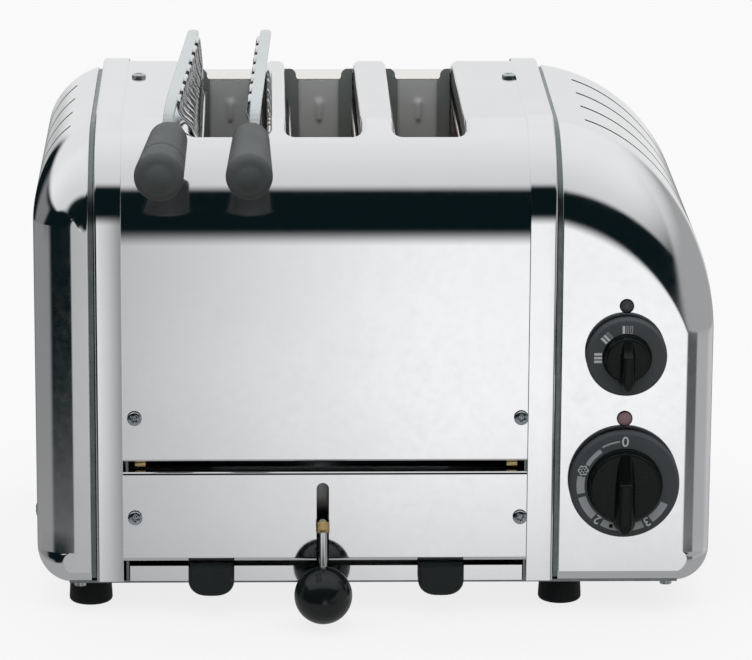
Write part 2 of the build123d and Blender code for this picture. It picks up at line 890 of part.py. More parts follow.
def cage_half(side):
    """A grid of wires in the slot, cranked out over the cover to its strip, with a handle tang."""
    x = cage_x + side * cage_grid_offset
    bottom = cage_bottom()
    bend = body_top + cage_bend_rise
    reach = (cage_wire_count - 1) / 2 * cage_wire_pitch
    strip_foot = cage_strip_height - 0.1 * cage_wire
    half = cage_strip(side)
    for index in range(cage_wire_count):
        y = index * cage_wire_pitch - reach
        half += rod((x, y, bottom), (x, y, bend + 0.3 * cage_wire), cage_wire)
        half += rod((x, y, bend), (strip_point(side, y), y, strip_foot), cage_wire)
    cross_reach = reach + cage_cross_overhang
    for z in (bottom, (bottom + bend) / 2, bend - cage_cross_drop):
        half += rod((x, -cross_reach, z), (x, cross_reach, z), cage_wire * 0.9)
    half += tang(side)
    for y in (-reach / 2, reach / 2):
        eye_y = y + side * cage_wire * 1.1
        half += rod((x, eye_y, bottom), (cage_x, eye_y, bottom), cage_wire * 0.8)
        half += rod((cage_x, eye_y - cage_wire / 2, bottom),
                    (cage_x, eye_y + cage_wire / 2, bottom), cage_eye)
        half -= rod((cage_x, eye_y - cage_wire, bottom), (cage_x, eye_y + cage_wire, bottom),
                    cage_hinge_wire + 2 * running)
    return half


def cage_hinge_pins():
    reach = (cage_wire_count - 1) / 4 * cage_wire_pitch
    z = cage_bottom()
    pins = []
    for y in (-reach, reach):
        pins.append(rod((cage_x, y - cage_pin_reach, z), (cage_x, y + cage_pin_reach, z),
                        cage_hinge_wire))
    return grouped(pins)


def cage_grip(side, grooved):
    """A tapered black grip, thicker towards the hand, with a blind bore for the tang."""
    far, near = grip_ends(side)
    along = (near - far).normalized()
    length = (near - far).length
    thin = cage_grip_thin / 2
    thick = cage_grip_thick / 2
    profile = make_face(Polyline((0, 0), (thin, 0), (thick, length), (0, length), close=True))
    grip = revolve(profile, Axis.Y)
    grip = fillet(grip.edges().filter_by(GeomType.CIRCLE), cage_grip_round)
    if grooved:
        start = length - cage_groove_place
        radius = thin + (thick - thin) * start / length - cage_groove_depth
        ring = rod((0, start, 0), (0, start + cage_groove, 0), cage_grip_thick * 2)
        grip -= ring - rod((0, start - 1, 0), (0, start + cage_groove + 1, 0), 2 * radius)
    place = Plane(origin=far, x_dir=(near - far).cross(Vector(0, 0, 1)), z_dir=(0, 0, 1))
    grip = place.location * grip
    bore_end = far + along * (cage_tang_depth + fit)
    return grip - rod(tuple(far - along), tuple(bore_end), cage_tang + 2 * fit)


def screw_group(points):
    return grouped([pan_screw(point, direction) for point, direction in points])


def build_parts():
    upward = (0, 0, 1)
    top_points = [item for item in cover_screw_points() if item[1] == upward]
    side_points = [item for item in cover_screw_points() if item[1] != upward]
    parts = {
        "right_end_casting": right_end_casting(),
        "left_end_casting": left_end_casting(),
        "right_band": band(cover_right, 1),
        "left_band": band(-cover_left, -1),
        "top_cover": top_cover(),
        "front_lower_panel": front_lower_panel(),
        "left_frame_plate": frame_plate(frame_left, 1),
        "right_frame_plate": frame_plate(frame_right, -1),
        "front_inner_plate": front_inner_plate(),
        "rear_inner_plate": rear_inner_plate(),
        "base_plate": base_plate(),
        "feet": feet(),
        "foot_screws": foot_screws(),
        "base_screws": base_screws(),
        "side_screws": side_screws(),
        "panel_screws": screw_group(side_points + panel_screw_points()),
        "top_screws": screw_group(top_points),
        "crumb_tray": crumb_tray(),
        "tray_grips": tray_grips(),
        "guide_rods": guide_rods(),
        "carriage_plate": carriage_plate(),
        "lift_bushes": lift_bushes(),
        "bread_racks": bread_racks(),
        "lever_bar": lever_bar(),
        "lever_stem": lever_stem(),
        "lever_ferrule": lever_ferrule(),
        "lever_ball": lever_ball(),
        "bread_guards": bread_guards(),
        "timer_knob": timer_knob(),
        "timer_shaft": control_shaft(timer_height),
        "timer_unit": control_unit(timer_height, timer_unit_size, timer_unit_depth),
        "selector_knob": selector_knob(),
        "selector_shaft": control_shaft(selector_height),
        "selector_switch": control_unit(selector_height, selector_switch_size,
                                        selector_switch_depth),
        "lower_lamp": lamp(lower_lamp_height, lower_lamp_diameter),
        "upper_lamp": lamp(upper_lamp_height, upper_lamp_diameter),
        "cord_inlet": cord_inlet(),
        "terminal_block": terminal_block(),
        "cage_left_half": cage_half(-1),
        "cage_right_half": cage_half(1),
        "cage_left_grip": cage_grip(-1, True),
        "cage_right_grip": cage_grip(1, False),
        "cage_hinge_pins": cage_hinge_pins(),
    }
    for number, x in enumerate(element_places(), start=1):
        parts["heating_element_" + str(number)] = heating_element(x)
    return parts


os.makedirs("parts", exist_ok=True)
for name, solid in build_parts().items():
    export(name, solid)
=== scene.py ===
import math
import bpy
from mathutils import Matrix, Vector
from mathutils.geometry import delaunay_2d_cdt


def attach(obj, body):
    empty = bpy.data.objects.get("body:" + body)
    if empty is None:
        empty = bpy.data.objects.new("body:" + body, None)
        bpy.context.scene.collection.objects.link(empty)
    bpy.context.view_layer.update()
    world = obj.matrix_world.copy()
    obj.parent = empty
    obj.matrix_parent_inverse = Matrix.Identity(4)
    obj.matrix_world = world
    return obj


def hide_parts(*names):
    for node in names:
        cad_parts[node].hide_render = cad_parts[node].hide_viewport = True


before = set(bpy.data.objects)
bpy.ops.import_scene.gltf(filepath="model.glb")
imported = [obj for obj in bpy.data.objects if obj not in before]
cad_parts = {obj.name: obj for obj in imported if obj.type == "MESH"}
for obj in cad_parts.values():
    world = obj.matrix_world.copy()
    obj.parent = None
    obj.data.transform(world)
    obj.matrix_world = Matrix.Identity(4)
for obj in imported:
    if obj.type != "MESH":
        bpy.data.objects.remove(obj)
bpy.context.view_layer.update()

# Lengths are in millimetres from the middle of the body, as the CAD lays them out;
# at() turns them into metres in the row frame.
SHIFT = 40.0
HALF_WIDTH, HALF_DEPTH, TOP = 155.0, 105.0, 224.0
COVER_LEFT, COVER_RIGHT = -120.0, 75.0
SHEET_LEFT, SHEET_RIGHT = COVER_LEFT + 0.1, COVER_RIGHT - 0.1
SHEET_THICK = 1.2
FRONT_SHOULDER, REAR_SHOULDER = 50.0, 43.0
COVER_FRONT_BOTTOM, COVER_REAR_BOTTOM = 74.0, 24.7
SLOTS = ((-84.0, -49.0), (-40.0, -6.4), (9.0, 41.2))
SLOT_FRONT, SLOT_REAR, SLOT_CORNER = -76.0, 85.0, 4.0
CONTROLS_X = 114.0
TIMER_Z, SELECTOR_Z = 63.3, 123.5
LOWER_LAMP_Z, UPPER_LAMP_Z = 93.0, 146.0
LEVER_X = -23.6


def at(x, y, z):
    return Vector((x, y + SHIFT, z)) * 0.001


def lerp(a, b, t):
    return a + (b - a) * t


def steps(low, high, count):
    return [lerp(low, high, i / count) for i in range(count + 1)]


def clamp(value):
    return min(1.0, max(0.0, value))


def quarter(count):
    """Sine and cosine at even steps through a quarter turn."""
    return [(math.sin(a), math.cos(a)) for a in steps(0, math.pi / 2, count)]


def stretches(items):
    """The parts of a list between its Nones."""
    out = [[]]
    for item in items:
        if item is None:
            out.append([])
        else:
            out[-1].append(item)
    return out


def slopes(points, closed=False):
    """Unit normals of a grid of points, from each point's neighbours."""
    last_row, last = len(points) - 1, len(points[0]) - 1
    out = []
    for i, row in enumerate(points):
        after = points[0 if closed and i == last_row else min(i + 1, last_row)]
        before = points[i - 1 if closed else max(i - 1, 0)]
        normals = []
        for j in range(last + 1):
            along = Vector(after[j]) - Vector(before[j])
            across = Vector(row[min(j + 1, last)]) - Vector(row[max(j - 1, 0)])
            normal = along.cross(across)
            normals.append(Vector((0, 0, 1)) if normal.length < 1e-9 else normal.normalized())
        out.append(normals)
    return out


class Shell:
    """Grids and polygons with their own normals, gathered into one mesh."""

    def __init__(self, mirrored=False):
        self.points, self.normals, self.faces, self.slots = [], [], [], []
        self.sign = -1.0 if mirrored else 1.0

    def add(self, point, normal):
        self.points.append(Vector((self.sign * point[0], point[1], point[2])))
        self.normals.append(Vector((self.sign * normal[0], normal[1], normal[2])).normalized())
        return len(self.points) - 1

    def face(self, corners, slot=0):
        """A face turned so that it agrees with the normals of its corners."""
        first = self.points[corners[0]]
        flat = Vector()
        for b, c in zip(corners[1:], corners[2:]):
            flat += (self.points[b] - first).cross(self.points[c] - first)
        if flat.dot(sum((self.normals[i] for i in corners), Vector())) < 0:
            corners = corners[::-1]
        self.faces.append(tuple(corners))
        self.slots.append(slot)

    def grid(self, rows, skip=None, slot=0, closed=False):
        """Rows of (point, normal); skip(row, column) leaves a face out; closed joins last row and first."""
        ids = [[self.add(p, n) for p, n in row] for row in rows]
        if closed:
            ids.append(ids[0])
        for i, (low, high) in enumerate(zip(ids, ids[1:])):
            for j in range(len(low) - 1):
                if not (skip and skip(i, j)):
                    self.face([low[j], low[j + 1], high[j + 1], high[j]], slot)

    def flat(self, rows, normal, slot=0):
        """Rows of points that all face one way."""
        self.grid([[(p, normal) for p in row] for row in rows], slot=slot)

    def polygon(self, points, normal, slot=0):
        self.face([self.add(p, normal) for p in points], slot)

    def surface(self, points, inside, closed=False, slot=0):
        """Rows of points whose normals come from their neighbours and point away from inside."""
        rows = [list(zip(*pair)) for pair in zip(points, slopes(points, closed))]
        middle = Vector(inside)
        votes = sum(n.dot(Vector(p) - middle) for row in rows for p, n in row)
        if votes < 0:
            rows = [[(p, -n) for p, n in row] for row in rows]
        self.grid(rows, closed=closed, slot=slot)

    def build(self, name, body, materials, nodes=()):
        mesh = bpy.data.meshes.new(name)
        mesh.from_pydata([at(*p) for p in self.points], [], self.faces)
        for material in materials:
            mesh.materials.append(material)
        mesh.polygons.foreach_set("material_index", self.slots)
        mesh.shade_smooth()
        mesh.normals_split_custom_set_from_vertices(self.normals)
        return place(mesh, name, body, nodes)


def new_object(name, data):
    obj = bpy.data.objects.new(name, data)
    bpy.context.scene.collection.objects.link(obj)
    return obj


def place(mesh, name, body, nodes=()):
    obj = new_object(name, mesh)
    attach(obj, body)
    if nodes:
        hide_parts(*nodes)
    return obj


def frame_of(axis):
    """The axis as a unit vector, and two directions square to it."""
    axis = Vector(axis).normalized()
    guide = Vector((1, 0, 0)) if abs(axis.x) < 0.9 else Vector((0, 0, 1))
    side = axis.cross(guide).normalized()
    return axis, side, axis.cross(side).normalized()


def spokes(side, up, count):
    """Unit vectors at even steps round the axis that side and up are square to."""
    turns = [math.tau * k / count for k in range(count)]
    return [side * math.cos(turn) + up * math.sin(turn) for turn in turns]


def lathe(shell, origin, axis, profile, count=48, slot=0):
    """Turns profile points (distance along the axis, radius) round the axis; None parts hard edges."""
    axis, side, up = frame_of(axis)
    origin = Vector(origin)
    for run in stretches(profile):
        changes = [(b[0] - a[0], b[1] - a[1]) for a, b in zip(run[:1] + run[:-1], run[1:] + run[-1:])]
        shell.grid([[(origin + axis * h + out * r, out * dh - axis * dr)
                     for (h, r), (dh, dr) in zip(run, changes)] for out in spokes(side, up, count)],
                   closed=True, slot=slot)


def rounded(h0, r0, h1, r1, corner):
    """Quarter ellipse from (h0, r0) to (h1, r1), bulging towards corner."""
    return [(lerp(h0, corner[0], s) + (h1 - corner[0]) * (1 - c),
             lerp(r0, corner[1], s) + (r1 - corner[1]) * (1 - c)) for s, c in quarter(6)]


def fill(tree, node, inputs):
    """Sets a node's inputs to numbers or colours, or links them to sockets or Fields."""
    for key, value in inputs.items():
        if isinstance(value, Field):
            value = value.socket
        if isinstance(value, bpy.types.NodeSocket):
            tree.links.new(value, node.inputs[key])
        else:
            node.inputs[key].default_value = value
    return node


def add_node(tree, kind, inputs):
    return fill(tree, tree.nodes.new(kind), inputs)


class Field:
    """A number worked out by nodes, written like a formula."""

    def __init__(self, tree, socket):
        self.tree, self.socket = tree, socket

    def math(self, operation, other):
        node = add_node(self.tree, "ShaderNodeMath", {0: self, 1: other})
        node.operation = operation
        return Field(self.tree, node.outputs[0])

    def __add__(self, other):
        return self.math("ADD", other)

    def __sub__(self, other):
        return self.math("SUBTRACT", other)

    def __mul__(self, other):
        return self.math("MULTIPLY", other)

    def __truediv__(self, other):
        return self.math("DIVIDE", other)

    def least(self, other):
        return self.math("MINIMUM", other)

    def most(self, other):
        return self.math("MAXIMUM", other)

    def ramp(self, start, end, low=0.0, high=1.0, kind="SMOOTHSTEP"):
        """low up to start, high from end on, eased between them."""
        node = add_node(self.tree, "ShaderNodeMapRange", {
            "From Min": start, "From Max": end, "To Min": low, "To Max": high, "Value": self})
        node.interpolation_type = kind
        return Field(self.tree, node.outputs["Result"])

    def over(self, below, share):
        """This value laid over another one where share is 1."""
        return (self - below) * share + below


def constant(tree, value):
    node = tree.nodes.new("ShaderNodeValue")
    node.outputs[0].default_value = value
    return Field(tree, node.outputs[0])


def noise(tree, scale, detail, stretch=(1, 1, 1), rough=0.5):
    """Noise in object space, in metres, stretched along the axes."""
    coords = tree.nodes.new("ShaderNodeTexCoord")
    mapping = add_node(tree, "ShaderNodeMapping", {"Scale": stretch, "Vector": coords.outputs["Object"]})
    texture = add_node(tree, "ShaderNodeTexNoise", {
        "Scale": scale, "Detail": detail, "Roughness": rough, "Vector": mapping.outputs["Vector"]})
    return Field(tree, texture.outputs["Fac"])


def surface_material(name, dark, light, metallic, specular, cloud, gloss, relief):
    """cloud is (scale, stretch) of the tint, gloss is (noise, lowest and highest roughness), and relief is
    (noise, depth). Both noises are the arguments of noise(), and the same ones give one texture."""
    material = bpy.data.materials.new(name)
    material.use_nodes = True
    tree = material.node_tree
    smear = noise(tree, *gloss[0])
    height = smear if relief[0] == gloss[0] else noise(tree, *relief[0])
    bump = add_node(tree, "ShaderNodeBump", {"Distance": relief[1], "Strength": 1.0, "Height": height})
    tint = tree.nodes.new("ShaderNodeMix")
    tint.data_type = "RGBA"
    fill(tree, tint, {"A": (*dark, 1), "B": (*light, 1), "Factor": noise(tree, cloud[0], 3, cloud[1])})
    fill(tree, tree.nodes["Principled BSDF"], {
        "Base Color": tint.outputs["Result"], "Metallic": metallic, "Specular IOR Level": specular,
        "Roughness": smear.ramp(0.3, 0.7, gloss[1], gloss[2], "LINEAR"), "Normal": bump.outputs["Normal"]})
    return material


def metal(name, dark, light, rough_low, rough_high, wave, wave_scale, grain=(1, 1, 1), metallic=1.0):
    """A polished metal: cloudy tint, smudges in the gloss and a very slight waviness."""
    return surface_material(name, dark, light, metallic, 0.5, (30, grain),
                            ((220, 4, grain, 0.65), rough_low, rough_high), ((wave_scale, 1.5), wave))


def plastic(name, dark, light, roughness, grain_scale, grain_depth, specular):
    """A moulded material whose fine grain is felt in its gloss and its relief."""
    return surface_material(name, dark, light, 0.0, specular, (60, (1, 1, 1)),
                            ((grain_scale, 3), roughness * 0.85, roughness * 1.15),
                            ((grain_scale, 3), grain_depth))


SHEET = metal("polished sheet", (0.86, 0.86, 0.875), (0.93, 0.93, 0.94), 0.05, 0.09, 0.00002, 9)
CAST = metal("polished casting", (0.86, 0.865, 0.88), (0.94, 0.94, 0.95), 0.06, 0.11, 0.00002, 22)
FRAME = metal("rolled steel", (0.20, 0.22, 0.225), (0.42, 0.44, 0.445), 0.28, 0.42, 0.0001, 60,
              (1, 1, 0.15))
PANEL = metal("grey inner panel", (0.76, 0.79, 0.78), (0.90, 0.93, 0.92), 0.38, 0.50, 0.0001, 90,
              (1, 1, 0.2), 0.15)
# the sides of the plates behind the slots: the pale plate's metal painted darker, standing in for shade
SHADE = metal("plate side painted dark as shade", (0.26, 0.30, 0.285), (0.38, 0.42, 0.405), 0.40, 0.55, 0.0001, 90,
              (1, 1, 0.2), 0.15)
# the step beside each band: the casting's metal painted dark, standing in for the shade in the groove
PAINTED_GROOVE_SHADE = metal("casting step painted dark as groove shade", (0.18, 0.215, 0.215), (0.26, 0.30, 0.30), 0.26, 0.36, 0.00005, 120)
CREAM = metal("bent tongue", (0.93, 0.91, 0.88), (0.98, 0.965, 0.94), 0.16, 0.26, 0.00003, 60)
WIRE = metal("plated wire", (0.72, 0.73, 0.75), (0.90, 0.91, 0.92), 0.06, 0.16, 0.00003, 90)
STRIP = metal("plated strip", (0.66, 0.71, 0.73), (0.78, 0.83, 0.85), 0.14, 0.24, 0.00003, 60)
SCREW = metal("nickel screw", (0.42, 0.46, 0.48), (0.70, 0.73, 0.75), 0.16, 0.30, 0.00004, 300)
BRASS = metal("turned brass", (0.62, 0.42, 0.16), (0.86, 0.66, 0.34), 0.16, 0.28, 0.00003, 300)
RUBBER = plastic("rubber", (0.010, 0.012, 0.013), (0.020, 0.023, 0.024), 0.62, 900, 0.00008, 0.3)
PLASTIC = plastic("satin moulded plastic", (0.009, 0.014, 0.014), (0.018, 0.026, 0.026), 0.36, 1600,
                  0.00002, 0.4)
HUB = plastic("glossy moulded plastic", (0.003, 0.005, 0.005), (0.006, 0.009, 0.009), 0.30, 1200,
              0.00001, 0.3)
GRIP = plastic("grained grip", (0.085, 0.093, 0.093), (0.130, 0.139, 0.139), 0.50, 1100, 0.00016, 0.1)
SKIRT = plastic("dull moulded plastic", (0.075, 0.085, 0.090), (0.105, 0.118, 0.124), 0.45, 1500,
                0.00002, 0.3)
BALL = plastic("glossy ball", (0.006, 0.009, 0.010), (0.011, 0.015, 0.016), 0.18, 260, 0.00001, 0.5)
PRINT = plastic("dial print", (0.42, 0.44, 0.47), (0.60, 0.61, 0.64), 0.5, 2500, 0.00001, 0.3)
MARK = plastic("white print", (0.72, 0.73, 0.74), (0.86, 0.87, 0.88), 0.5, 2500, 0.00001, 0.3)
PINK = plastic("faded red lens", (0.36, 0.20, 0.215), (0.50, 0.32, 0.335), 0.18, 700, 0.00006, 0.5)
SMOKE = plastic("smoked lens", (0.060, 0.060, 0.070), (0.110, 0.110, 0.125), 0.2, 700, 0.00006, 0.5)
MICA = plastic("mica card", (0.16, 0.10, 0.075), (0.34, 0.24, 0.19), 0.5, 240, 0.0001, 0.3)
# near-black: the printed dot on the timer and the lamp rims, and painted shade on the louvre walls and in
# the seams beside the bands
NEAR_BLACK_PRINT_AND_SHADE = plastic("near-black print and painted recess shade", (0.004, 0.006, 0.006), (0.010, 0.013, 0.013), 0.6, 300, 0.00002, 0.2)


# The cover: one bent sheet with three slots whose edges are rolled in
FRONT_ARC, REAR_ARC = FRONT_SHOULDER * math.pi / 2, REAR_SHOULDER * math.pi / 2
FRONT_FLAT, REAR_FLAT = HALF_DEPTH - FRONT_SHOULDER, HALF_DEPTH - REAR_SHOULDER
FRONT_RUN = TOP - FRONT_SHOULDER - COVER_FRONT_BOTTOM
FLAT_RUN = FRONT_FLAT + REAR_FLAT
REAR_RUN = TOP - REAR_SHOULDER - COVER_REAR_BOTTOM
COVER_RUN = FRONT_RUN + FRONT_ARC + FLAT_RUN + REAR_ARC + REAR_RUN
ROLL, REAR_ROLL, ROLL_BOTTOM = 3.0, 1.0, 213.0


def cover_at(s):
    """y, z and the outward normal's y, z at s mm along the sheet from its front edge."""
    if s <= FRONT_RUN:
        return -HALF_DEPTH, COVER_FRONT_BOTTOM + s, -1.0, 0.0
    s -= FRONT_RUN
    if s <= FRONT_ARC:
        sine, cosine = math.sin(s / FRONT_SHOULDER), math.cos(s / FRONT_SHOULDER)
        return (-FRONT_FLAT - FRONT_SHOULDER * cosine, TOP - FRONT_SHOULDER + FRONT_SHOULDER * sine,
                -cosine, sine)
    s -= FRONT_ARC
    if s <= FLAT_RUN:
        return -FRONT_FLAT + s, TOP, 0.0, 1.0
    s -= FLAT_RUN
    if s <= REAR_ARC:
        sine, cosine = math.sin(s / REAR_SHOULDER), math.cos(s / REAR_SHOULDER)
        return REAR_FLAT + REAR_SHOULDER * sine, TOP - REAR_SHOULDER + REAR_SHOULDER * cosine, sine, cosine
    return HALF_DEPTH, TOP - REAR_SHOULDER - (s - REAR_ARC), 1.0, 0.0


def along_cover(y):
    """The place along the sheet under a plan position y on its top or shoulders."""
    start = FRONT_RUN + FRONT_ARC
    if y < -FRONT_FLAT:
        return start - FRONT_SHOULDER * math.asin((-FRONT_FLAT - y) / FRONT_SHOULDER)
    if y > REAR_FLAT:
        return start + FLAT_RUN + REAR_SHOULDER * math.asin((y - REAR_FLAT) / REAR_SHOULDER)
    return start + FRONT_FLAT + y


def slot_outline(left, right, grow):
    """Plan points of a slot's rounded outline, each with the direction into the slot."""
    centre, half_x = (left + right) / 2, (right - left) / 2 + grow
    corner = SLOT_CORNER + grow
    front, rear = SLOT_FRONT - grow + corner, SLOT_REAR + grow - corner
    quarters = ((1, rear), (-1, rear), (-1, front), (1, front))
    middles = [(centre + way * (half_x - corner), y) for way, y in quarters]
    out = []
    for k in range(4):
        (x, y), (next_x, next_y) = middles[k], middles[(k + 1) % 4]
        for a in steps(90 * k, 90 * (k + 1), 8):
            c, s = math.cos(math.radians(a)), math.sin(math.radians(a))
            out.append((x + corner * c, y + corner * s, -c, -s))
        x0, y0, x1, y1 = out[-1][0], out[-1][1], next_x + corner * c, next_y + corner * s
        spacing = 1.0 if k == 0 else 4.0
        for t in steps(0, 1, max(2, int(math.hypot(x1 - x0, y1 - y0) / spacing)))[1:-1]:
            out.append((lerp(x0, x1, t), lerp(y0, y1, t), -c, -s))
    return out


def inside_polygon(point, polygon):
    inside = False
    count = len(polygon)
    for i in range(count):
        a, b = polygon[i], polygon[i - 1]
        if (a.y > point.y) != (b.y > point.y):
            if point.x < (b.x - a.x) * (point.y - a.y) / (b.y - a.y) + a.x:
                inside = not inside
    return inside


def make_cover():
    shell = Shell()
    places, start = [0.0], 0.0
    for length, count in ((FRONT_RUN, 5), (FRONT_ARC, 36), (FLAT_RUN, 5), (REAR_ARC, 36), (REAR_RUN, 5)):
        places += steps(start, start + length, count)[1:]
        start += length
    coords, edges = [], []
    for i, s in enumerate(places):
        coords += [Vector((SHEET_LEFT, s)), Vector((SHEET_RIGHT, s))]
        edges.append((2 * i, 2 * i + 1))
    for i in range(len(coords) - 2):
        edges.append((i, i + 2))
    outlines = [slot_outline(left, right, ROLL) for left, right in SLOTS]
    holes = [[Vector((x, along_cover(y))) for x, y, mx, my in outline] for outline in outlines]
    for hole in holes:
        first = len(coords)
        coords += hole
        edges += [(first + i, first + (i + 1) % len(hole)) for i in range(len(hole))]
    flat_points, _, triangles = delaunay_2d_cdt(coords, edges, [], 0, 1e-5)[:3]
    ids = []
    for point in flat_points:
        y, z, ny, nz = cover_at(point.y)
        ids.append(shell.add((point.x, y, z), (0, ny, nz)))
    for corners in triangles:
        middle = sum((flat_points[i] for i in corners), Vector((0, 0))) / len(corners)
        if not any(inside_polygon(middle, hole) for hole in holes):
            shell.face([ids[i] for i in corners])
    for outline in outlines:
        rows = []
        for x, y, mx, my in outline:
            _, z, ny, nz = cover_at(along_cover(y))
            n = Vector((0, ny, nz))
            t = Vector((mx, my * nz, -my * ny)).normalized()
            behind = clamp((y - SLOT_REAR + SLOT_CORNER) / (SLOT_CORNER + ROLL))
            roll = lerp(ROLL, REAR_ROLL, behind)
            row = [(Vector((x, y, z)) + t * roll * s - n * roll * (1 - c), n * c + t * s)
                   for s, c in quarter(7)]
            end = row[-1][0]
            row.append((Vector((end.x, end.y, lerp(ROLL_BOTTOM, end.z - 0.8, behind))), t))
            rows.append(row)
        shell.grid(rows, closed=True)
    # the lower edges at the front and at the back turn inwards
    for place_along, way in ((0.0, -1), (COVER_RUN, 1)):
        y, z = cover_at(place_along)[:2]
        rows = []
        for x in (SHEET_LEFT, SHEET_RIGHT):
            row = [((x, y - way * (SHEET_THICK - SHEET_THICK * c), z - SHEET_THICK * s), (0, way * c, -s))
                   for s, c in quarter(5)]
            rows.append(row + [((x, y - way * 6.0, z - SHEET_THICK), (0, 0, -1))])
        shell.grid(rows)
    return shell.build("cover_sheet", "chassis", [SHEET], ["top_cover"])


def make_slot_tabs():
    """The tongue at every slot's rear end, bent down towards the inner plate."""
    shell = Shell()
    faces = (((87.2, 215.4), (79.5, 212.4), 1), ((86.9, 214.4), (79.7, 211.5), -1))
    half, corner = 12.8, 1.2
    for left, right in SLOTS:
        centre = (left + right) / 2
        for back, front, way in faces:
            bend = (lerp(front[0], back[0], 0.2), lerp(front[1], back[1], 0.2))
            rows = []
            for x, inset in ((-13.4, corner), (-half, 0.0), (half, 0.0), (13.4, corner)):
                tip = (front[0] + inset, front[1] + inset * 0.4)
                rows.append([(centre + x, y, z) for y, z in (back, bend, tip)])
            shell.flat(rows, (0, -0.36 * way, 0.93 * way))
        edge = [(centre + x, *faces[0][1]) for x in (-half, half)]
        shell.flat([edge, [(x, y + 0.2, z - 0.9) for x, y, z in edge]], (0, -1, 0))
    return shell.build("slot_tabs", "chassis", [CREAM])


# The end castings: a lip, a step painted dark as groove shade and a seam painted near-black as shade beside
# each band, and louvres cut through with walls painted near-black as shade
CAST_TOP, FOOT_Z, CORNER = 223.0, 14.0, 15.0
GROOVE, LIP, STEP_DEPTH, SEAM = 1.9, 0.7, 0.9, 0.35
LOUVRES, LOUVRE_HALF, WALL = (15, 45), 1.4, 3.0


def casting_stations(inner_x, rise, side_round, sideways):
    """Outline point (x, z), lean of the section from upright, the section's front and rear depth, and
    how far its rounding reaches sideways and down."""
    half_x = HALF_WIDTH - inner_x
    pivot_z, low_z = CAST_TOP - rise, FOOT_Z + CORNER
    start = inner_x + BAND_WIDTH - BAND_ON_COVER + SEAM + GROOVE + LIP
    first = math.asin((start - inner_x) / half_x)
    out = []
    for t in steps(0, 1, 44):
        turn = lerp(first, math.pi / 2, t)
        lean = t * math.pi / 2
        reaches = [lerp(side_round, reach, math.cos(lean)) for reach in (52, 45, sideways, 40)]
        out.append((inner_x + half_x * math.sin(turn), pivot_z + rise * math.cos(turn), lean, *reaches))
    for z in steps(pivot_z, low_z, 14)[1:]:
        out.append((HALF_WIDTH, z, math.pi / 2, *[side_round] * 4))
    for t in steps(0, 1, 14)[1:]:
        lean = math.pi / 2 * (1 + t)
        out.append((HALF_WIDTH - CORNER + CORNER * math.sin(lean), low_z + CORNER * math.cos(lean), lean,
                    *[lerp(side_round, reach, t) for reach in (7, 7, 6, 6)]))
    for x in steps(HALF_WIDTH - CORNER, start, 8)[1:]:
        out.append((x, FOOT_Z, math.pi, 7.0, 7.0, 6.0, 6.0))
    return out


def section_point(station, y):
    """Point of a section at y, on its quarter ellipses."""
    x, z, lean, front_depth, rear_depth, across, rise = station
    depth = front_depth if y < 0 else rear_depth
    over = max(0.0, abs(y) - (HALF_DEPTH - depth)) / depth
    drop = 1 - math.sqrt(max(0.0, 1 - over ** 2))
    return Vector((x - across * drop * math.sin(lean), y, z - rise * drop * math.cos(lean)))


def casting_normals(points, inside):
    """Normals away from inside; front and rear edges face straight out, the ends have no sideways part."""
    out = [[-n if n.dot(p - inside) < 0 else n for p, n in zip(*pair)]
           for pair in zip(points, slopes(points))]
    for row in out:
        row[0] = Vector((0, -1, 0))
        row[-1] = Vector((0, 1, 0))
    for end in (0, -1):
        out[end] = [Vector((0, n.y, n.z)).normalized() for n in out[end]]
    return out


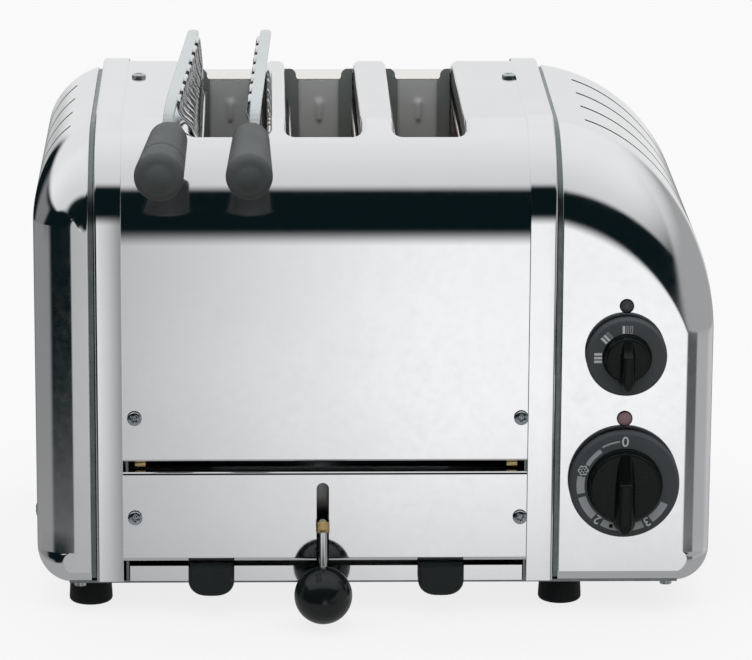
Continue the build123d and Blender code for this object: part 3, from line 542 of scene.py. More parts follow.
def casting(name, inner_x, rise, rounding, louvre_x, louvre_z, mirrored, node):
    shell = Shell(mirrored)
    stations = casting_stations(inner_x, rise, *rounding)
    half = [0, LOUVRES[0] - LOUVRE_HALF, LOUVRES[0] + LOUVRE_HALF, 30, LOUVRES[1] - LOUVRE_HALF,
            LOUVRES[1] + LOUVRE_HALF, 48]
    half += [48 + 57 * s for s, c in quarter(30)[1:]]
    ys = [-y for y in half[::-1]] + half[1:]
    points = [[section_point(station, y) for y in ys] for station in stations]
    normals = casting_normals(points, Vector((inner_x, 0, 110)))
    middles = [abs((a + b) / 2) for a, b in zip(ys, ys[1:])]
    gaps = [j for j, y in enumerate(middles) if min(abs(y - louvre) for louvre in LOUVRES) < 0.5]

    def cut(i, j):
        x, z, lean = stations[i][:3]
        return j in gaps and x >= louvre_x and z >= louvre_z and lean <= math.pi / 2

    shell.grid([list(zip(*pair)) for pair in zip(points, normals)], skip=cut)
    for j in gaps:
        run = [i for i in range(len(stations) - 1) if cut(i, j)]
        run.append(run[-1] + 1)
        loop = [(points[i][j], normals[i][j], 1) for i in run]
        loop += [(points[i][j + 1], normals[i][j + 1], -1) for i in run[::-1]]
        # the louvre walls take the near-black material: painted shade inside the louvres
        shell.grid([[(p, (0, way, 0)), (p - n * WALL, (0, way, 0))] for p, n, way in loop],
                   closed=True, slot=1)
    for end, way in ((0, -1), (-1, 1)):
        shell.polygon([row[end] for row in points], (0, way, 0))
    # the rounded lip beside the band, the step below it, painted dark as the shade in the groove, and the
    # seam, painted near-black as shade
    between = steps(0, 1, 12)[1:-1]
    loop = list(zip(points[0], normals[0]))
    loop += [(points[0][-1].lerp(points[-1][-1], t), Vector((0, 1, 0))) for t in between]
    loop += list(zip(points[-1][::-1], normals[-1][::-1]))
    loop += [(points[-1][0].lerp(points[0][0], t), Vector((0, -1, 0))) for t in between]
    lip, step, seam = [], [], []
    inward = Vector((-1, 0, 0))
    for p, n in loop:
        n = Vector((0, n[1], n[2])).normalized()
        bottom = p + Vector((-LIP, 0, 0)) - n * STEP_DEPTH
        edge = p + Vector((-LIP - GROOVE, 0, 0)) - n * STEP_DEPTH
        deep = edge - n * WALL
        lip.append([(p + Vector((-LIP * s, 0, 0)) - n * LIP * (1 - c), n * c + Vector((-s, 0, 0)))
                    for s, c in quarter(5)] + [(bottom, inward)])
        step.append([(edge, n), (bottom, n)])
        seam.append([(edge, inward), (deep, inward), (deep + Vector((-SEAM - 4, 0, 0)), n)])
    # slot 2, the step, is painted groove shade; slot 1, the seam, is painted near-black shade
    for rows, slot in ((lip, 0), (step, 2), (seam, 1)):
        shell.grid(rows, closed=True, slot=slot)
    return shell.build(name, "chassis", [CAST, NEAR_BLACK_PRINT_AND_SHADE, PAINTED_GROOVE_SHADE], [node])


# The bands over the joints between cover and castings
BAND_WIDTH, BAND_ON_COVER, BAND_PROUD, BAND_BOTTOM = 12.3, 5.2, 1.5, 16.0
BAND_EDGE, BAND_RISE, BAND_DEPTHS, BAND_LIFT = 1.3, 41.5, (52.5, 45.5), 1.7


def band_path():
    """Points and normals (y, z) of the band's outer face from the front foot over to the rear one, with
    how far its inner edge stands off the cover at the shoulders, as a share."""
    reach, top = HALF_DEPTH + BAND_PROUD, TOP + BAND_PROUD
    halves = []
    for depth in BAND_DEPTHS:
        half = [(-reach, z, -1.0, 0.0, 0.0) for z in steps(BAND_BOTTOM, top - BAND_RISE, 4)]
        for a in steps(0, math.pi / 2, 36)[1:]:
            n = Vector((-math.cos(a) / depth, math.sin(a) / BAND_RISE)).normalized()
            half.append((-(reach - depth) - depth * math.cos(a), top - BAND_RISE + BAND_RISE * math.sin(a),
                         n.x, n.y, math.sin(2 * a) ** 2))
        halves.append(half)
    return halves[0] + [(-y, z, -ny, nz, gap) for y, z, ny, nz, gap in halves[1][::-1]]


def make_band(name, x_inner, way, node):
    """way is 1 when the band's outer edge lies to the right."""
    shell = Shell()
    crown_end = BAND_WIDTH - BAND_EDGE
    # distance across, height (None: down to the cover), and the normal across and outwards
    section = [(0.0, None, -1, 0), (0.0, -0.25, -1, 0), None, (0.0, -0.25, -0.7, 0.7), (0.25, 0.0, 0, 1),
               (0.26, 0.0, 0.02, 1), (BAND_WIDTH / 2, 0.0, -0.005, 1), (crown_end, 0.0, -0.02, 1)]
    section += [(crown_end + BAND_EDGE * s, -BAND_EDGE * (1 - c), s, c) for s, c in quarter(6)[1:]]
    section += [(BAND_WIDTH, -4.0, 1, 0)]
    for run in stretches(section):
        rows = []
        for y, z, ny, nz, gap in band_path():
            row = []
            for across, h, sx, sh in run:
                h = -(BAND_LIFT + 4.0 * gap) if h is None else h
                row.append(((x_inner + way * across, y + ny * h, z + nz * h), (way * sx, ny * sh, nz * sh)))
            rows.append(row)
        shell.grid(rows)
    for side in (-1, 1):
        low = [(x_inner + way * across, side * (HALF_DEPTH + BAND_PROUD + (h or -BAND_LIFT)), BAND_BOTTOM)
               for across, h, sx, sh in filter(None, section)]
        shell.flat([low, [(x, side * (HALF_DEPTH - 2), z) for x, y, z in low]], (0, 0, -1))
    return shell.build(name, "chassis", [SHEET], [node])


# The lower front panel with the lever's slot, the crumb tray's pulls, screws, feet and the lever
PANEL_TOP, PANEL_BOTTOM, LEVER_SLOT, LEVER_SLOT_TOP = 68.1, 24.7, 5.7, 62.7
PANEL_TOP_ROUND, PANEL_LOW_ROUND = 1.8, 2.4


def make_lower_panel():
    shell = Shell()
    half = LEVER_SLOT / 2
    centre_z = LEVER_SLOT_TOP - half
    front, low_z = -HALF_DEPTH, PANEL_BOTTOM + PANEL_LOW_ROUND
    profile = [(front + 8, PANEL_TOP, 0, 1)]
    profile += [(front + PANEL_TOP_ROUND * (1 - s), PANEL_TOP - PANEL_TOP_ROUND * (1 - c), -s, c)
                for s, c in quarter(6)]
    first_open = len(profile) - 1
    profile.append((front, centre_z, -1, 0))
    profile += [(front + PANEL_LOW_ROUND * (1 - c), PANEL_BOTTOM + PANEL_LOW_ROUND * (1 - s), -c, -s)
                for s, c in quarter(6)]
    profile.append((front + 8, PANEL_BOTTOM, 0, -1))
    shell.grid([[((x, y, z), (0, ny, nz)) for y, z, ny, nz in profile]
                for x in (SHEET_LEFT, LEVER_X - half, LEVER_X + half, SHEET_RIGHT)],
               skip=lambda i, j: i == 1 and j >= first_open)
    top_z = PANEL_TOP - PANEL_TOP_ROUND
    arch = [(LEVER_X + half * math.cos(a), front, centre_z + half * math.sin(a))
            for a in steps(math.pi, 0, 14)]
    for a, b in zip(arch, arch[1:]):
        shell.polygon([(a[0], front, top_z), a, b, (b[0], front, top_z)], (0, -1, 0))
    edge = [(LEVER_X - half, front, low_z)] + arch + [(LEVER_X + half, front, low_z)]
    rows = []
    for x, y, z in edge:
        facing = (LEVER_X - x, 0, min(0.0, centre_z - z) - 1e-4)
        rows.append([((x, y, z), facing), ((x, y + SHEET_THICK, z), facing)])
    shell.grid(rows)
    return shell.build("lower_panel_sheet", "chassis", [SHEET], ["front_lower_panel"])


def make_tray_grips():
    """Two black pulls: a flat plate with a half-round lower edge and a soft rim."""
    shell = Shell()
    middle, spacing, half, drop = -22.0, 105.3, 10.5, 7.4
    front, back, bottom, top = -110.2, -104.2, 9.7, 24.3
    outline = [(-half, top), (-half, bottom + drop)]
    for a in steps(180, 360, 20):
        c, s = math.cos(math.radians(a)), math.sin(math.radians(a))
        outline.append((half * math.copysign(abs(c) ** 0.72, c), bottom + drop + drop * s))
    outline += [(half, bottom + drop), (half, top)]
    centre = Vector((0, 17.0))
    for side in (-1, 1):
        x = middle + side * spacing / 2
        rows = []
        for depth, inset in ((back, 0.0), (front + 1.6, 0.0), (front + 0.8, 0.25), (front + 0.25, 0.8),
                             (front, 1.6)):
            row = []
            for px, pz in outline:
                toward = (centre - Vector((px, pz))).normalized()
                row.append((x + px + toward.x * inset, depth, pz + toward.y * inset))
            rows.append(row)
        shell.surface(rows, (x, -107, 17))
        shell.polygon(rows[-1], (0, -1, 0))
        shell.polygon([rows[0][0], rows[-1][0], rows[-1][-1], rows[0][-1]], (0, 0, 1))
    return shell.build("tray_pulls", "tray", [PLASTIC], ["tray_grips"])


def screw_head(shell, point, outward, turn, radius):
    """A domed head with a cross cut into it."""
    height, cross_half, cross_reach, cross_depth = 1.9, 0.52, 2.0, 1.0
    axis, side, up = frame_of(outward)
    c, s = math.cos(turn), math.sin(turn)
    side, up = side * c + up * s, up * c - side * s
    origin = Vector(point)
    rows = []
    for k in range(40):
        angle = math.tau * k / 40
        row = []
        for ring in (0.0, 0.12, 0.2, 0.3, 0.4, 0.5, 0.6, 0.7, 0.8, 0.88, 0.94, 0.98, 1.0):
            a, b = ring * radius * math.cos(angle), ring * radius * math.sin(angle)
            dome = height * (0.42 + 0.58 * math.sqrt(max(0.0, 1 - ring ** 3.2)))
            pit = max(clamp((cross_half - abs(u)) / 0.16) * clamp((cross_reach - abs(v)) / 0.5)
                      for u, v in ((a, b), (b, a)))
            row.append(origin + axis * (dome - cross_depth * pit) + side * a + up * b)
        row.append(origin + side * radius * math.cos(angle) + up * radius * math.sin(angle))
        rows.append(row)
    shell.surface(rows, origin - axis * 3, closed=True)


def make_screws():
    columns, rows = (-109.4, 66.8), (93.5, 46.2)
    panel = [((x, way * HALF_DEPTH, z), (0, way, 0)) for x in columns for way in (-1, 1) for z in rows]
    top = [((x, 28.0, TOP), (0, 0, 1)) for x in columns]
    ends = [((way * HALF_WIDTH, y, 36.5), (way, 0, 0)) for way in (-1, 1) for y in (-60.0, 60.0)]
    turn = 0.3
    for name, node, places, step, radius in (("front_and_rear_screws", "panel_screws", panel, 0.55, 3.35),
                                             ("cover_top_screws", "top_screws", top, 0.7, 3.35),
                                             ("end_screws", "side_screws", ends, 0.7, 3.25)):
        shell = Shell()
        for point, outward in places:
            turn += step
            screw_head(shell, point, outward, turn, radius)
        shell.build(name, "chassis", [SCREW], [node])


def make_feet():
    shell = Shell()
    profile = [(0.0, 4.5), (0.0, 8.0)] + rounded(0.0, 8.4, 1.6, 10.0, (0.0, 10.0))
    profile += [(4.0, 9.9), (9.0, 9.6), (12.6, 9.5)] + rounded(12.8, 9.5, 14.0, 8.6, (14.0, 9.5))
    profile += [None, (0.0, 4.5), (9.0, 4.5), None, (9.0, 4.5), (9.0, 0.01)]
    for x in (-130.7, 87.0):
        for y in (-83.0, 83.0):
            lathe(shell, (x, y, 0), (0, 0, 1), profile)
    return shell.build("rubber_feet", "chassis", [RUBBER], ["feet"])


def make_lever():
    """The ball, its stem, and the knurled ferrule that holds the stem on the lever's bar."""
    start, ball = Vector((LEVER_X, -108.5, 42.2)), Vector((LEVER_X, -126.0, 15.6))
    along = (ball - start).normalized()
    radius, stem, mouth = 13.2, 1.9, 0.145
    shell = Shell()
    profile = [(-radius * math.cos(a), max(0.01, radius * math.sin(a))) for a in steps(mouth, math.pi, 40)]
    lathe(shell, ball, along, profile, 64)
    lathe(shell, ball, along, [(-radius * math.cos(mouth), 1.92), (-6.0, 1.92)])
    shell.build("lever_knob", "carriage", [BALL], ["lever_ball"])
    shell = Shell()
    profile = [(0, 0.01), (0.0, 1.5), (0.4, stem), (29.0, stem), (29.0, 0.01)]
    lathe(shell, start - along * 3.1, along, profile, 32)
    shell.build("lever_rod", "carriage", [WIRE], ["lever_stem"])
    shell = Shell()
    axis, side, up = frame_of(along)
    rows = []
    for k, out in enumerate(spokes(side, up, 120)):
        ridge = 3.01 + 0.09 * math.cos(math.tau * k / 120 * 30)
        profile = [(-2.5, 1.95), (-2.5, 2.75), (-2.2, 3.0)]
        profile += [(h, ridge) for h in (-1.9, -1.0, 0.0, 1.0, 1.9)] + [(2.2, 3.0), (2.5, 2.75), (2.5, 1.95)]
        rows.append([start + axis * h + out * r for h, r in profile])
    shell.surface(rows, start, closed=True)
    shell.build("lever_collar", "carriage", [BRASS], ["lever_ferrule"])


# The knobs with their printed scales, and the lamps
KNOB_REAR, KNOB_FACE = -107.0, 5.0
PRINT_Y = KNOB_REAR - KNOB_FACE - 0.04


def dial_point(height, radius, degrees, y):
    """A point on a dial, measured clockwise from its top as seen from the front."""
    angle = math.radians(degrees)
    return CONTROLS_X + radius * math.sin(angle), y, height + radius * math.cos(angle)


def dial_arc(shell, height, start, end, inner, outer):
    rows = [[dial_point(height, inner, a, PRINT_Y), dial_point(height, outer, a, PRINT_Y)]
            for a in steps(start, end, max(2, int(abs(end - start) / 3)))]
    shell.flat(rows, (0, -1, 0))


def dial_box(shell, height, degrees, radius, x, z, wide, tall, slot=0, hollow=0.0):
    """A small rectangle or frame in a dial's own turned axes, at x across and z outward."""
    angle = math.radians(degrees)
    out = Vector((math.sin(angle), 0, math.cos(angle)))
    across = Vector((math.cos(angle), 0, -math.sin(angle)))
    centre = Vector((CONTROLS_X, PRINT_Y, height)) + out * (radius + z) + across * x
    boxes = [(0, 0, wide, tall)]
    if hollow:
        boxes = [(0, way * (tall - hollow) / 2, wide, hollow) for way in (1, -1)]
        boxes += [(way * (wide - hollow) / 2, 0, hollow, tall - 2 * hollow) for way in (1, -1)]
    for cx, cz, w, t in boxes:
        corners = [(-w / 2, -t / 2), (w / 2, -t / 2), (w / 2, t / 2), (-w / 2, t / 2)]
        shell.polygon([centre + across * (cx + a) + out * (cz + b) for a, b in corners], (0, -1, 0), slot)


def knob_body(name, height, skirt, hub, bar_low, bar_half, body, node):
    """A dial: a skirt with a rounded rim, a hub, and a bar across the hub to hold it by."""
    shell = Shell()
    origin = (CONTROLS_X, KNOB_REAR, height)
    face, hub_face = KNOB_FACE, KNOB_FACE + 4.0
    profile = [(0.0, 3.05), (0.0, skirt - 1.2), (0.4, skirt - 0.3), (1.2, skirt), (2.2, skirt)]
    profile += rounded(2.6, skirt, face, skirt - 1.6, (face, skirt))
    lathe(shell, origin, (0, -1, 0), profile + [(face, skirt - 3.0), (face, hub + 0.9)], 72)
    profile = rounded(face, hub + 0.7, face + 0.8, hub, (face, hub)) + [(face + 3.0, hub - 0.5)]
    profile += rounded(face + 3.2, hub - 0.5, hub_face, hub - 1.5, (hub_face, hub - 0.5))
    lathe(shell, origin, (0, -1, 0), profile + [(hub_face, 0.01)], 72, slot=1)
    # the bar has its full height below the middle and slopes down to the hub above it
    top_z = hub - 1.2
    stations = [(top_z, 0.75, 4.1), (top_z - 0.6, 0.8, 4.4), (top_z * 0.55, 0.85, 6.0), (2.6, 0.9, 7.6),
                (2.3, 0.92, 8.9), (1.8, 0.92, 9.0), (-bar_low * 0.4, 0.96, 9.0),
                (-bar_low + bar_half, 1.0, 9.0)]
    stations += [(-bar_low + bar_half - bar_half * s, max(0.02, c), 9.0 - 1.6 * (1 - c))
                 for s, c in quarter(7)[1:]]
    rows = []
    for z, wide, tall in stations:
        w, crest, top = bar_half * wide, bar_half * wide * 0.52, face + tall
        half = [(w, face - 0.5), (w, face + 1.5), (w * 0.82, face + tall * 0.72), (crest + 0.25, top - 0.45),
                (crest, top - 0.12), (crest * 0.6, top)]
        rows.append([(CONTROLS_X + x, KNOB_REAR - h, height + z)
                     for x, h in [(-x, h) for x, h in half] + half[::-1]])
    shell.surface(rows, (CONTROLS_X, KNOB_REAR, height - 3), slot=1)
    return shell.build(name, body, [SKIRT, HUB], [node])


def digit(text, degrees, radius, size):
    """One printed numeral on the timer's skirt, turned with its place on the dial."""
    name = "timer_numeral_" + text
    curve = bpy.data.curves.new(name, "FONT")
    curve.body = text
    curve.size = size * 0.001
    curve.offset = 0.00008
    curve.align_x = curve.align_y = "CENTER"
    holder = new_object(name + "_text", curve)
    bpy.context.view_layer.update()
    mesh = bpy.data.meshes.new_from_object(holder.evaluated_get(bpy.context.evaluated_depsgraph_get()))
    bpy.data.objects.remove(holder)
    mesh.materials.clear()
    mesh.materials.append(MARK)
    turn = Matrix.Rotation(math.radians(degrees), 4, "Y") @ Matrix.Rotation(math.radians(90), 4, "X")
    mesh.transform(Matrix.Translation(at(*dial_point(TIMER_Z, radius, degrees, PRINT_Y))) @ turn)
    return place(mesh, name, "timer_dial")


def make_timer_print():
    """The scale's arcs with a dot, the defrost mark and the numerals."""
    shell = Shell()
    for start, end, inner, outer in ((-7, -30, 20.4, 21.2), (-34, -61, 18.6, 20.6), (-78, -101, 18.4, 22.0),
                                     (-106, -137, 18.4, 22.0), (-150, -178.5, 18.6, 22.0),
                                     (-181.5, -205, 18.6, 22.0), (-217, -245, 18.4, 22.0)):
        dial_arc(shell, TIMER_Z, start, end, inner, outer)
    dot = Vector(dial_point(TIMER_Z, 20.3, -163.0, PRINT_Y - 0.03))
    turns = steps(0, math.tau, 16)[:-1]
    shell.polygon([dot + Vector((math.cos(a), 0, math.sin(a))) for a in turns], (0, -1, 0), 1)
    shell.build("timer_scale", "timer_dial", [PRINT, NEAR_BLACK_PRINT_AND_SHADE])
    shell = Shell()
    mark_angle, mark_radius = -69.5, 20.3
    for spoke in range(6):
        for part in (0.9, 1.7):
            rim = Vector(dial_point(0, part, spoke * 60, 0)) - Vector((CONTROLS_X, 0, 0))
            dial_box(shell, TIMER_Z, mark_angle, mark_radius, rim.x, rim.z, 0.5, 0.5)
    centre = Vector(dial_point(TIMER_Z, mark_radius, mark_angle, PRINT_Y))
    for k in range(24):
        a, b = math.tau * k / 24, math.tau * (k + 1) / 24
        corners = ((1.9, a), (2.3 + 0.25 * math.cos(6 * a), a), (2.3 + 0.25 * math.cos(6 * b), b), (1.9, b))
        ring = [centre + Vector((r * math.cos(t), 0, r * math.sin(t))) for r, t in corners]
        shell.polygon(ring, (0, -1, 0))
    shell.build("timer_defrost_mark", "timer_dial", [MARK])
    digit("0", 0, 20.4, 6.6)
    digit("2", -143.5, 20.2, 6.0)
    digit("3", -211, 20.2, 6.0)


def make_selector_print():
    """Three marks of three bars each; the filled bars are the slots in use."""
    shell = Shell()
    for degrees, filled in ((0, 1), (-45, 2), (-90, 3)):
        for bar in range(3):
            slot, hollow = (0, 0.0) if bar < filled else (1, 0.28)
            dial_box(shell, SELECTOR_Z, degrees, 13.2, (bar - 1) * 1.75, 0, 1.15, 3.6, slot, hollow)
    shell.build("selector_marks", "selector_dial", [MARK, PRINT])


def make_lamps():
    rim_width = 0.45
    for name, z, radius, lens, slot, node in (
            ("lower_lamp_lens", LOWER_LAMP_Z, 3.6, PINK, "pink_lens", "lower_lamp"),
            ("upper_lamp_lens", UPPER_LAMP_Z, 3.3, SMOKE, "dark_lens", "upper_lamp")):
        shell = Shell()
        inner = radius - rim_width
        dome = [(0.5 + 0.7 * math.cos(a), max(0.01, inner * math.sin(a))) for a in steps(math.pi / 2, 0, 10)]
        lathe(shell, (CONTROLS_X, -HALF_DEPTH, z), (0, -1, 0), dome, 40)
        rim = [(0.0, radius), (0.35, radius)] + rounded(0.35, radius, 0.7, inner, (0.7, radius))
        lathe(shell, (CONTROLS_X, -HALF_DEPTH, z), (0, -1, 0), rim + [(0.3, radius - 0.5)], 40, slot=1)
        shell.build(name, "chassis", [lens, NEAR_BLACK_PRINT_AND_SHADE], [node])


# The sandwich cage: two halves of flat strip and bent wire, each with a grip
CAGE_X, STRIP_FRONT, STRIP_BACK = -66.5, -100.0, 86.0
STRIP_HALF, STRIP_THICK, STRIP_Z = 2.6, 0.9, 234.6
WIRE_RADIUS, BAR_RADIUS, WIRE_SIDES = 1.15, 0.9, 10
BEND_START, BEND_END, BEND_DROP = -52.0, -114.0, 8.0
# x of each strip at its front and at its back
LEFT_STRIP, RIGHT_STRIP = (-93.4, -84.0), (-54.6, -48.8)


def strip_x(ends, y):
    return lerp(ends[0], ends[1], (y - STRIP_FRONT) / (STRIP_BACK - STRIP_FRONT))


def tube(shell, path, radius):
    """A round wire along a path whose corners are given a small bend."""
    path = [Vector(point) for point in path]
    line = path[:1]
    for a, b, c in zip(path, path[1:], path[2:]):
        bend = min(radius * 2.2, (a - b).length * 0.45, (c - b).length * 0.45)
        before, after = b + (a - b).normalized() * bend, b + (c - b).normalized() * bend
        for t in steps(0, 1, 4):
            line.append(before.lerp(b, t).lerp(b.lerp(after, t), t))
    line.append(path[-1])
    line = [p for i, p in enumerate(line) if i == 0 or (p - line[i - 1]).length > 1e-6]
    side = frame_of(line[1] - line[0])[1]
    rows = []
    for i, p in enumerate(line):
        along = (line[min(i + 1, len(line) - 1)] - line[max(i - 1, 0)]).normalized()
        side = (side - along * side.dot(along)).normalized()
        ring = spokes(side, along.cross(side), WIRE_SIDES)
        rows.append([(p + n * radius, n) for n in ring + ring[:1]])
    shell.grid(rows)
    for end, way in ((0, -1), (-1, 1)):
        along = (line[end] - line[end - way]).normalized()
        shell.polygon([p for p, n in rows[end][:-1]], along)


def cage_strip(shell, ends):
    """The flat bar along the top of one half, with a round far end and a bend down into its grip."""
    end_radius, soft = 3.0, 0.35
    line = []
    for d in (0.0, 0.2, 0.7, 1.5, end_radius):
        wide = math.sqrt(max(0.0, 1 - ((end_radius - d) / end_radius) ** 2))
        line.append((STRIP_BACK - d, STRIP_Z, max(0.05, wide)))
    line += [(y, STRIP_Z, 1.0) for y in steps(76, BEND_START, 6)]
    for t in steps(0, 1, 12)[1:]:
        line.append((lerp(BEND_START, BEND_END, t), STRIP_Z - BEND_DROP * t ** 2.4, 1.0 - 0.2 * t ** 3))
    rows = []
    for y, z, wide in line:
        x, w, h = strip_x(ends, y), STRIP_HALF * wide, STRIP_THICK
        row = [(x - w, y, z - h + soft), (x - w, y, z + h - soft), (x - w + soft * wide, y, z + h),
               (x + w - soft * wide, y, z + h), (x + w, y, z + h - soft), (x + w, y, z - h + soft),
               (x + w - soft * wide, y, z - h), (x - w + soft * wide, y, z - h)]
        rows.append(row + row[:1])
    for side in range(8):
        pair = [row[side:side + 2] for row in rows]
        (x0, y, z0), (x1, y, z1) = pair[5]
        parts = ((x0 + x1) / 2 - strip_x(ends, y)) / STRIP_HALF, ((z0 + z1) / 2 - STRIP_Z) / STRIP_THICK
        across, up = [part if abs(part) > 0.8 else 0 for part in parts]
        shell.flat(pair, (across, 0, up), slot=1)


def make_cage_halves():
    """Each half: the strip, a wire bent to and fro between strip and bottom, three bars across it, and two
    legs to the hinge pins."""
    low, high, gap_to_wire = 99.0, STRIP_Z - 0.1, 0.3
    ys = []
    for first in steps(-72.0, 62.0, 6):
        ys += [first, first + 9.5]
    for name, ends, inner, legs_x, node in (("cage_left_grid", LEFT_STRIP, 1, -80.3, "cage_left_half"),
                                            ("cage_right_grid", RIGHT_STRIP, -1, -54.5, "cage_right_half")):
        shell = Shell()
        cage_strip(shell, ends)
        path = []
        for i, y in enumerate(ys):
            over = strip_x(ends, y) + inner * (STRIP_HALF + gap_to_wire)
            climb = [(legs_x, y, low), (legs_x, y, 214.0), (lerp(over, legs_x, 0.75), y, 223.0),
                     (over + inner * 0.8, y, 227.5), (over, y, high)]
            path += climb if i % 2 == 0 else climb[::-1]
        tube(shell, path, WIRE_RADIUS)
        for z in (112.0, 160.0, 208.0):
            tube(shell, [(legs_x + inner * 1.6, y, z) for y in (ys[0] - 2, ys[-1] + 2)], BAR_RADIUS)
        for y in (-30.0, 30.0):
            hinge_leg = [(legs_x, y, low + 12), (legs_x, y, 96.5), (CAGE_X - inner, y, 94.3)]
            tube(shell, hinge_leg, WIRE_RADIUS)
        shell.build(name, "cage", [WIRE, STRIP], [node])


def make_cage_grips():
    """Tapered grips with a rounded near end; the left one has a shallow groove."""
    far_round, near_round, dome = 5.0, 4.6, 2.0
    for name, far_x, near_x, thin, thick, grooved, node in (
            ("cage_grip_left", -92.9, -96.2, 8.5, 11.0, True, "cage_left_grip"),
            ("cage_grip_right", -56.2, -57.0, 8.2, 10.4, False, "cage_right_grip")):
        shell = Shell()
        far = Vector((far_x, -110, 225.0))
        along = Vector((near_x, -190, 224.6)) - far
        length = along.length

        def radius(h):
            return lerp(thin, thick, h / length)

        profile = [(0.1, 2.2)]
        profile += rounded(0.1, radius(0) - far_round, far_round, radius(far_round), (0.1, radius(0)))
        marks = steps(far_round + 1, length - near_round - dome - 0.5, 16)
        groove_at = length - 26.0
        if grooved:
            marks = [m for m in marks if abs(m - groove_at) > 2.5]
            marks += [groove_at + offset for offset in (-0.9, -0.5, 0, 0.5, 0.9)]
            marks.sort()
        for h in marks:
            dip = 0.8 if grooved and abs(h - groove_at) < 0.6 else 0.0
            profile.append((h, radius(h) - dip))
        shoulder = length - dome - near_round
        profile += rounded(shoulder, radius(shoulder), length - dome, radius(length) - near_round,
                           (length - dome, radius(length)))
        flat = radius(length) - near_round
        profile += [(length - dome * (r / flat) ** 2, max(0.01, r)) for r in steps(flat, 0.0, 6)[1:]]
        lathe(shell, far, along, profile, 56)
        shell.build(name, "cage", [GRIP], [node])


# What shows inside the slots and in the gap above the lower panel
def make_rear_panels():
    """A pressed plate behind every slot: a pale middle with a small bead, sides painted darker as shade and
    a notched top.
    """
    shell = Shell()
    front, low, ear, notch, half, edge_depth = 78.0, 112.0, 217.6, 212.0, 9.7, 0.7
    y = front + edge_depth
    for left, right in SLOTS:
        centre, side = (left + right) / 2, (right - left) / 2 - 0.4
        rows = []
        for z in steps(low, 184, 6) + steps(185, notch, 30):
            row = []
            for x in steps(-half, half, 34):
                edge = edge_depth * max(0.0, 1 - (half - abs(x)) / 0.8)
                taper = 2.0 - 0.9 * clamp((200.0 - z) / 9.0)
                off = (x - 0.4) / taper
                along = max(0.0, z - 200.5) / 2.0 + max(0.0, 193.0 - z) / 1.5
                row.append((centre + x, front + edge - 1.2 * math.exp(-off ** 2 - along ** 2), z))
            rows.append(row)
        shell.surface(rows, (centre, 90, 150))
        # the sides take the darker colour: painted shade
        for way in (-1, 1):
            shell.flat([[(centre + way * x, y, z) for z in (low, notch)] for x in (half, side)],
                       (0, -1, 0), slot=1)
            corner = [(centre + way * side, y, z) for z in (notch, ear)]
            for t in steps(1, 0, 16):
                wide = 8.6 + 2.4 * math.sqrt(1 - max(0.0, 1 - t / 0.4) ** 2)
                wide += 2.2 * max(0.0, (t - 0.5) / 0.5) ** 2
                corner.append((centre + way * wide, y, lerp(notch, ear, t)))
            shell.polygon(corner, (0, -1, 0), 1)
    return shell.build("rear_slot_panels", "chassis", [PANEL, SHADE])


def make_gap_lugs():
    """The ends of two brass catches seen in the gap between cover and lower panel."""
    shell = Shell()
    profile = [(0, 0.01), (0.0, 1.9), (0.3, 2.2), (4.9, 2.2), (5.2, 1.9), (5.2, 0.01)]
    for x in (-107.0, 63.0):
        lathe(shell, (x - 2.6, -99.5, 71.0), (1, 0, 0), profile, 24)
    return shell.build("gap_catches", "chassis", [BRASS])


def paint(material, *names):
    for name in names:
        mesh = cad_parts[name].data
        mesh.materials.clear()
        mesh.materials.append(material)


# The surroundings, by direction: what polished metal sees, the light on matt things and the background
BACKGROUND = 0.945
# added to red, green and blue: the dark room is a little blue-green
TINT = (-0.0035, 0.0015, 0.0030)
# the light on matt things: weak from the sides, strong from above
DOME = (0.04, 1.58)
DEGREES = 180 / math.pi


def studio(tree, x, y, z):
    """What polished metal sees round it, by azimuth (0 in front, growing to the right) and elevation: a
    big lamp overhead, a dark room in front and at the left, a grey wall at the right, the backdrop behind,
    a white sheet on the table in front and the grey table itself."""
    up = z.most(0.02)
    across = x / up
    ahead = y / up * -1.0
    azimuth = x.math("ARCTAN2", y * -1.0) * DEGREES
    elevation = z.math("ARCSINE", 0.0) * DEGREES
    left = x.ramp(0.0, -0.06)
    right_wall = (x * -0.449 + y * -0.292 + z * 0.844).ramp(0.04, -0.04) * x.ramp(0.02, 0.12)
    left_gap = y.ramp(-0.08, 0.14) * y.ramp(0.82, 0.62) * z.ramp(0.42, 0.28) * left
    left_edge = (x * 0.79 + y * 0.243 + z * 0.479).ramp(-0.02, 0.10)
    left_edge = left_edge.most((x * 0.466 + z * 0.885).ramp(-0.05, 0.12))
    lamp = ahead.ramp(1.10, 0.76) * across.ramp(2.7, 0.8)
    lamp = lamp * (left_edge - 1.0) * left + lamp
    backdrop = y.ramp(0.86, 0.94) * (left * -1.0 + 1.0)
    behind_left = left_edge * left * y.ramp(0.3, 0.7)
    level = constant(tree, 0.0065)
    level = constant(tree, 0.36).over(level, right_wall)
    level = constant(tree, 0.20).over(level, left_gap)
    level = ahead.ramp(0.85, -0.6, 0.67, 0.85).over(level, lamp)
    level = constant(tree, 0.80).over(level, backdrop.most(behind_left))
    # the table, seen below the horizon
    sheet = azimuth.ramp(-6.5, 3.5, 0.0, 1.18, "LINEAR").least(1.03) * azimuth.ramp(10, 17, 1.0, 0.09)
    table = azimuth.ramp(98, 120, 0.42, 0.55).over(sheet, azimuth.ramp(48, 55))
    table = table.most(azimuth.ramp(-62, -78, 0.006, 0.25))
    table = constant(tree, 0.14).over(table, y.ramp(0.82, 0.92))
    table = constant(tree, 0.36).over(table, elevation.ramp(-15.4, -21))
    in_front = azimuth.ramp(-14, -10) * azimuth.ramp(17, 12)
    share = elevation.ramp(5, -17).over(elevation.ramp(-8, -14), in_front)
    return table.over(level, share)


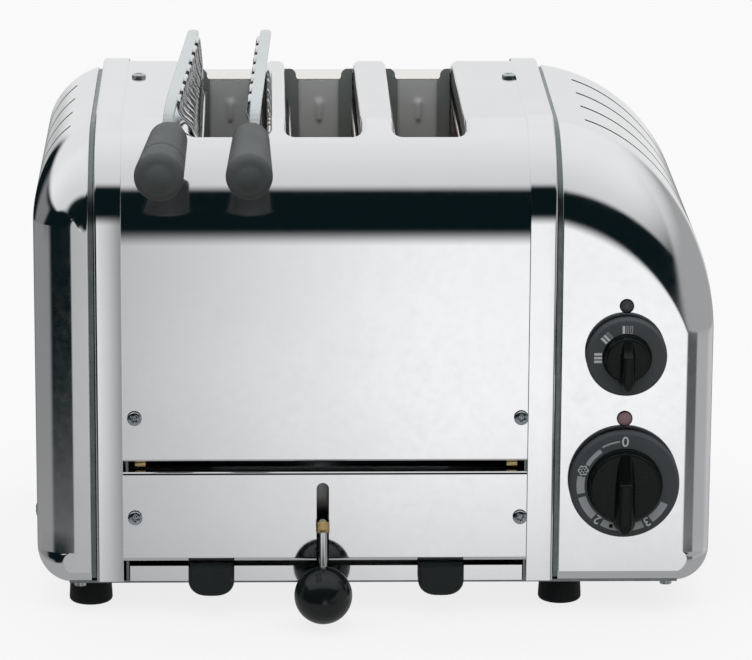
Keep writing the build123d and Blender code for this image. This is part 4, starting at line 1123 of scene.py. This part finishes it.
def mixed(tree, first, second, factor):
    return add_node(tree, "ShaderNodeMixShader", {0: factor, 1: first, 2: second}).outputs[0]


def glow(tree, kind, level):
    """Light of a Field's level, tinted, or of a number's level in plain grey."""
    if isinstance(level, Field):
        parts = {i: (level + shift).most(0.0) for i, shift in enumerate(TINT)}
        color = add_node(tree, "ShaderNodeCombineXYZ", parts).outputs[0]
    else:
        color = (level, level, level, 1)
    return add_node(tree, kind, {"Color": color, "Strength": 1.0}).outputs[0]


def make_world():
    world = bpy.data.worlds.new("studio")
    bpy.context.scene.world = world
    world.use_nodes = True
    world.cycles.sampling_method = "NONE"
    tree = world.node_tree
    tree.nodes.remove(tree.nodes["Background"])
    path = tree.nodes.new("ShaderNodeLightPath")
    direction = tree.nodes.new("ShaderNodeTexCoord").outputs["Generated"]
    parts = add_node(tree, "ShaderNodeSeparateXYZ", {0: direction})
    x, y, z = [Field(tree, socket) for socket in parts.outputs]
    dome, seen, behind = [glow(tree, "ShaderNodeBackground", level)
                          for level in (z.ramp(0.1, 1.0, *DOME), studio(tree, x, y, z), BACKGROUND)]
    shader = mixed(tree, dome, seen, path.outputs["Is Glossy Ray"])
    shader = mixed(tree, shader, behind, path.outputs["Is Camera Ray"])
    tree.links.new(shader, tree.nodes["World Output"].inputs["Surface"])


def make_floor():
    """A pale floor that keeps the shadow; the light it sends back up is weak."""
    size, pale, weak, glowing_share = 6.0, 0.94, 0.25, 0.86
    mesh = bpy.data.meshes.new("floor")
    corners = [(-size, -size, 0), (size, -size, 0), (size, size, 0), (-size, size, 0)]
    mesh.from_pydata(corners, [], [(0, 1, 2, 3)])
    material = bpy.data.materials.new("pale floor")
    material.use_nodes = True
    material.cycles.emission_sampling = "NONE"
    tree = material.node_tree
    tree.nodes.remove(tree.nodes["Principled BSDF"])
    matt, bounce = [add_node(tree, "ShaderNodeBsdfDiffuse", {"Color": (level, level, level, 1)}).outputs[0]
                    for level in (pale, weak)]
    seen = Field(tree, tree.nodes.new("ShaderNodeLightPath").outputs["Is Camera Ray"])
    shader = mixed(tree, matt, glow(tree, "ShaderNodeEmission", BACKGROUND), seen * glowing_share)
    shader = mixed(tree, bounce, shader, seen)
    tree.links.new(shader, tree.nodes["Material Output"].inputs["Surface"])
    mesh.materials.append(material)
    floor = new_object("floor", mesh)
    floor.visible_glossy = False


def make_camera():
    data = bpy.data.cameras.new("camera")
    camera = new_object("camera", data)
    yaw, pitch, roll = math.radians(1.632), math.radians(14.988), math.radians(0.322)
    ahead = Vector((math.sin(yaw) * math.cos(pitch), math.cos(yaw) * math.cos(pitch), -math.sin(pitch)))
    right = Vector((math.cos(yaw), -math.sin(yaw), 0))
    up = right.cross(ahead)
    side = right * math.cos(roll) + up * math.sin(roll)
    top = up * math.cos(roll) - right * math.sin(roll)
    turn = Matrix((side, top, -ahead)).transposed().to_4x4()
    camera.matrix_world = Matrix.Translation(at(-56.5, -2098.9, 669.0)) @ turn
    data.sensor_width = 36.0
    data.lens = 218.2
    data.clip_start, data.clip_end = 0.05, 50.0
    bpy.context.scene.camera = camera


make_camera()
make_world()
make_floor()
make_cover()
make_slot_tabs()
casting("casting_right", COVER_RIGHT, 90.0, (14.0, 40.0), 96.0, 44.0, False, "right_end_casting")
casting("casting_left", -COVER_LEFT, 40.0, (18.0, 20.0), 139.0, 105.0, True, "left_end_casting")
make_band("band_right", COVER_RIGHT - BAND_ON_COVER, 1, "right_band")
make_band("band_left", COVER_LEFT + BAND_ON_COVER, -1, "left_band")
make_lower_panel()
make_tray_grips()
make_screws()
make_feet()
make_lever()
knob_body("timer_handle", TIMER_Z, 25.3, 16.5, 21.6, 5.3, "timer_dial", "timer_knob")
knob_body("selector_handle", SELECTOR_Z, 18.4, 10.4, 13.8, 3.9, "selector_dial", "selector_knob")
make_timer_print()
make_selector_print()
make_lamps()
make_cage_halves()
make_cage_grips()
make_rear_panels()
make_gap_lugs()
paint(FRAME, "left_frame_plate", "right_frame_plate", "front_inner_plate", "rear_inner_plate", "base_plate",
      "carriage_plate", "bread_racks")
paint(SHEET, "crumb_tray")
paint(SCREW, "foot_screws", "base_screws", "guide_rods", "lever_bar", "timer_shaft", "selector_shaft")
paint(BRASS, "lift_bushes")
paint(WIRE, "bread_guards", "cage_hinge_pins")
paint(PLASTIC, "timer_unit", "selector_switch", "cord_inlet", "terminal_block")
paint(MICA, "heating_element_1", "heating_element_2", "heating_element_3", "heating_element_4")
bpy.context.scene.view_settings.view_transform = "Standard"
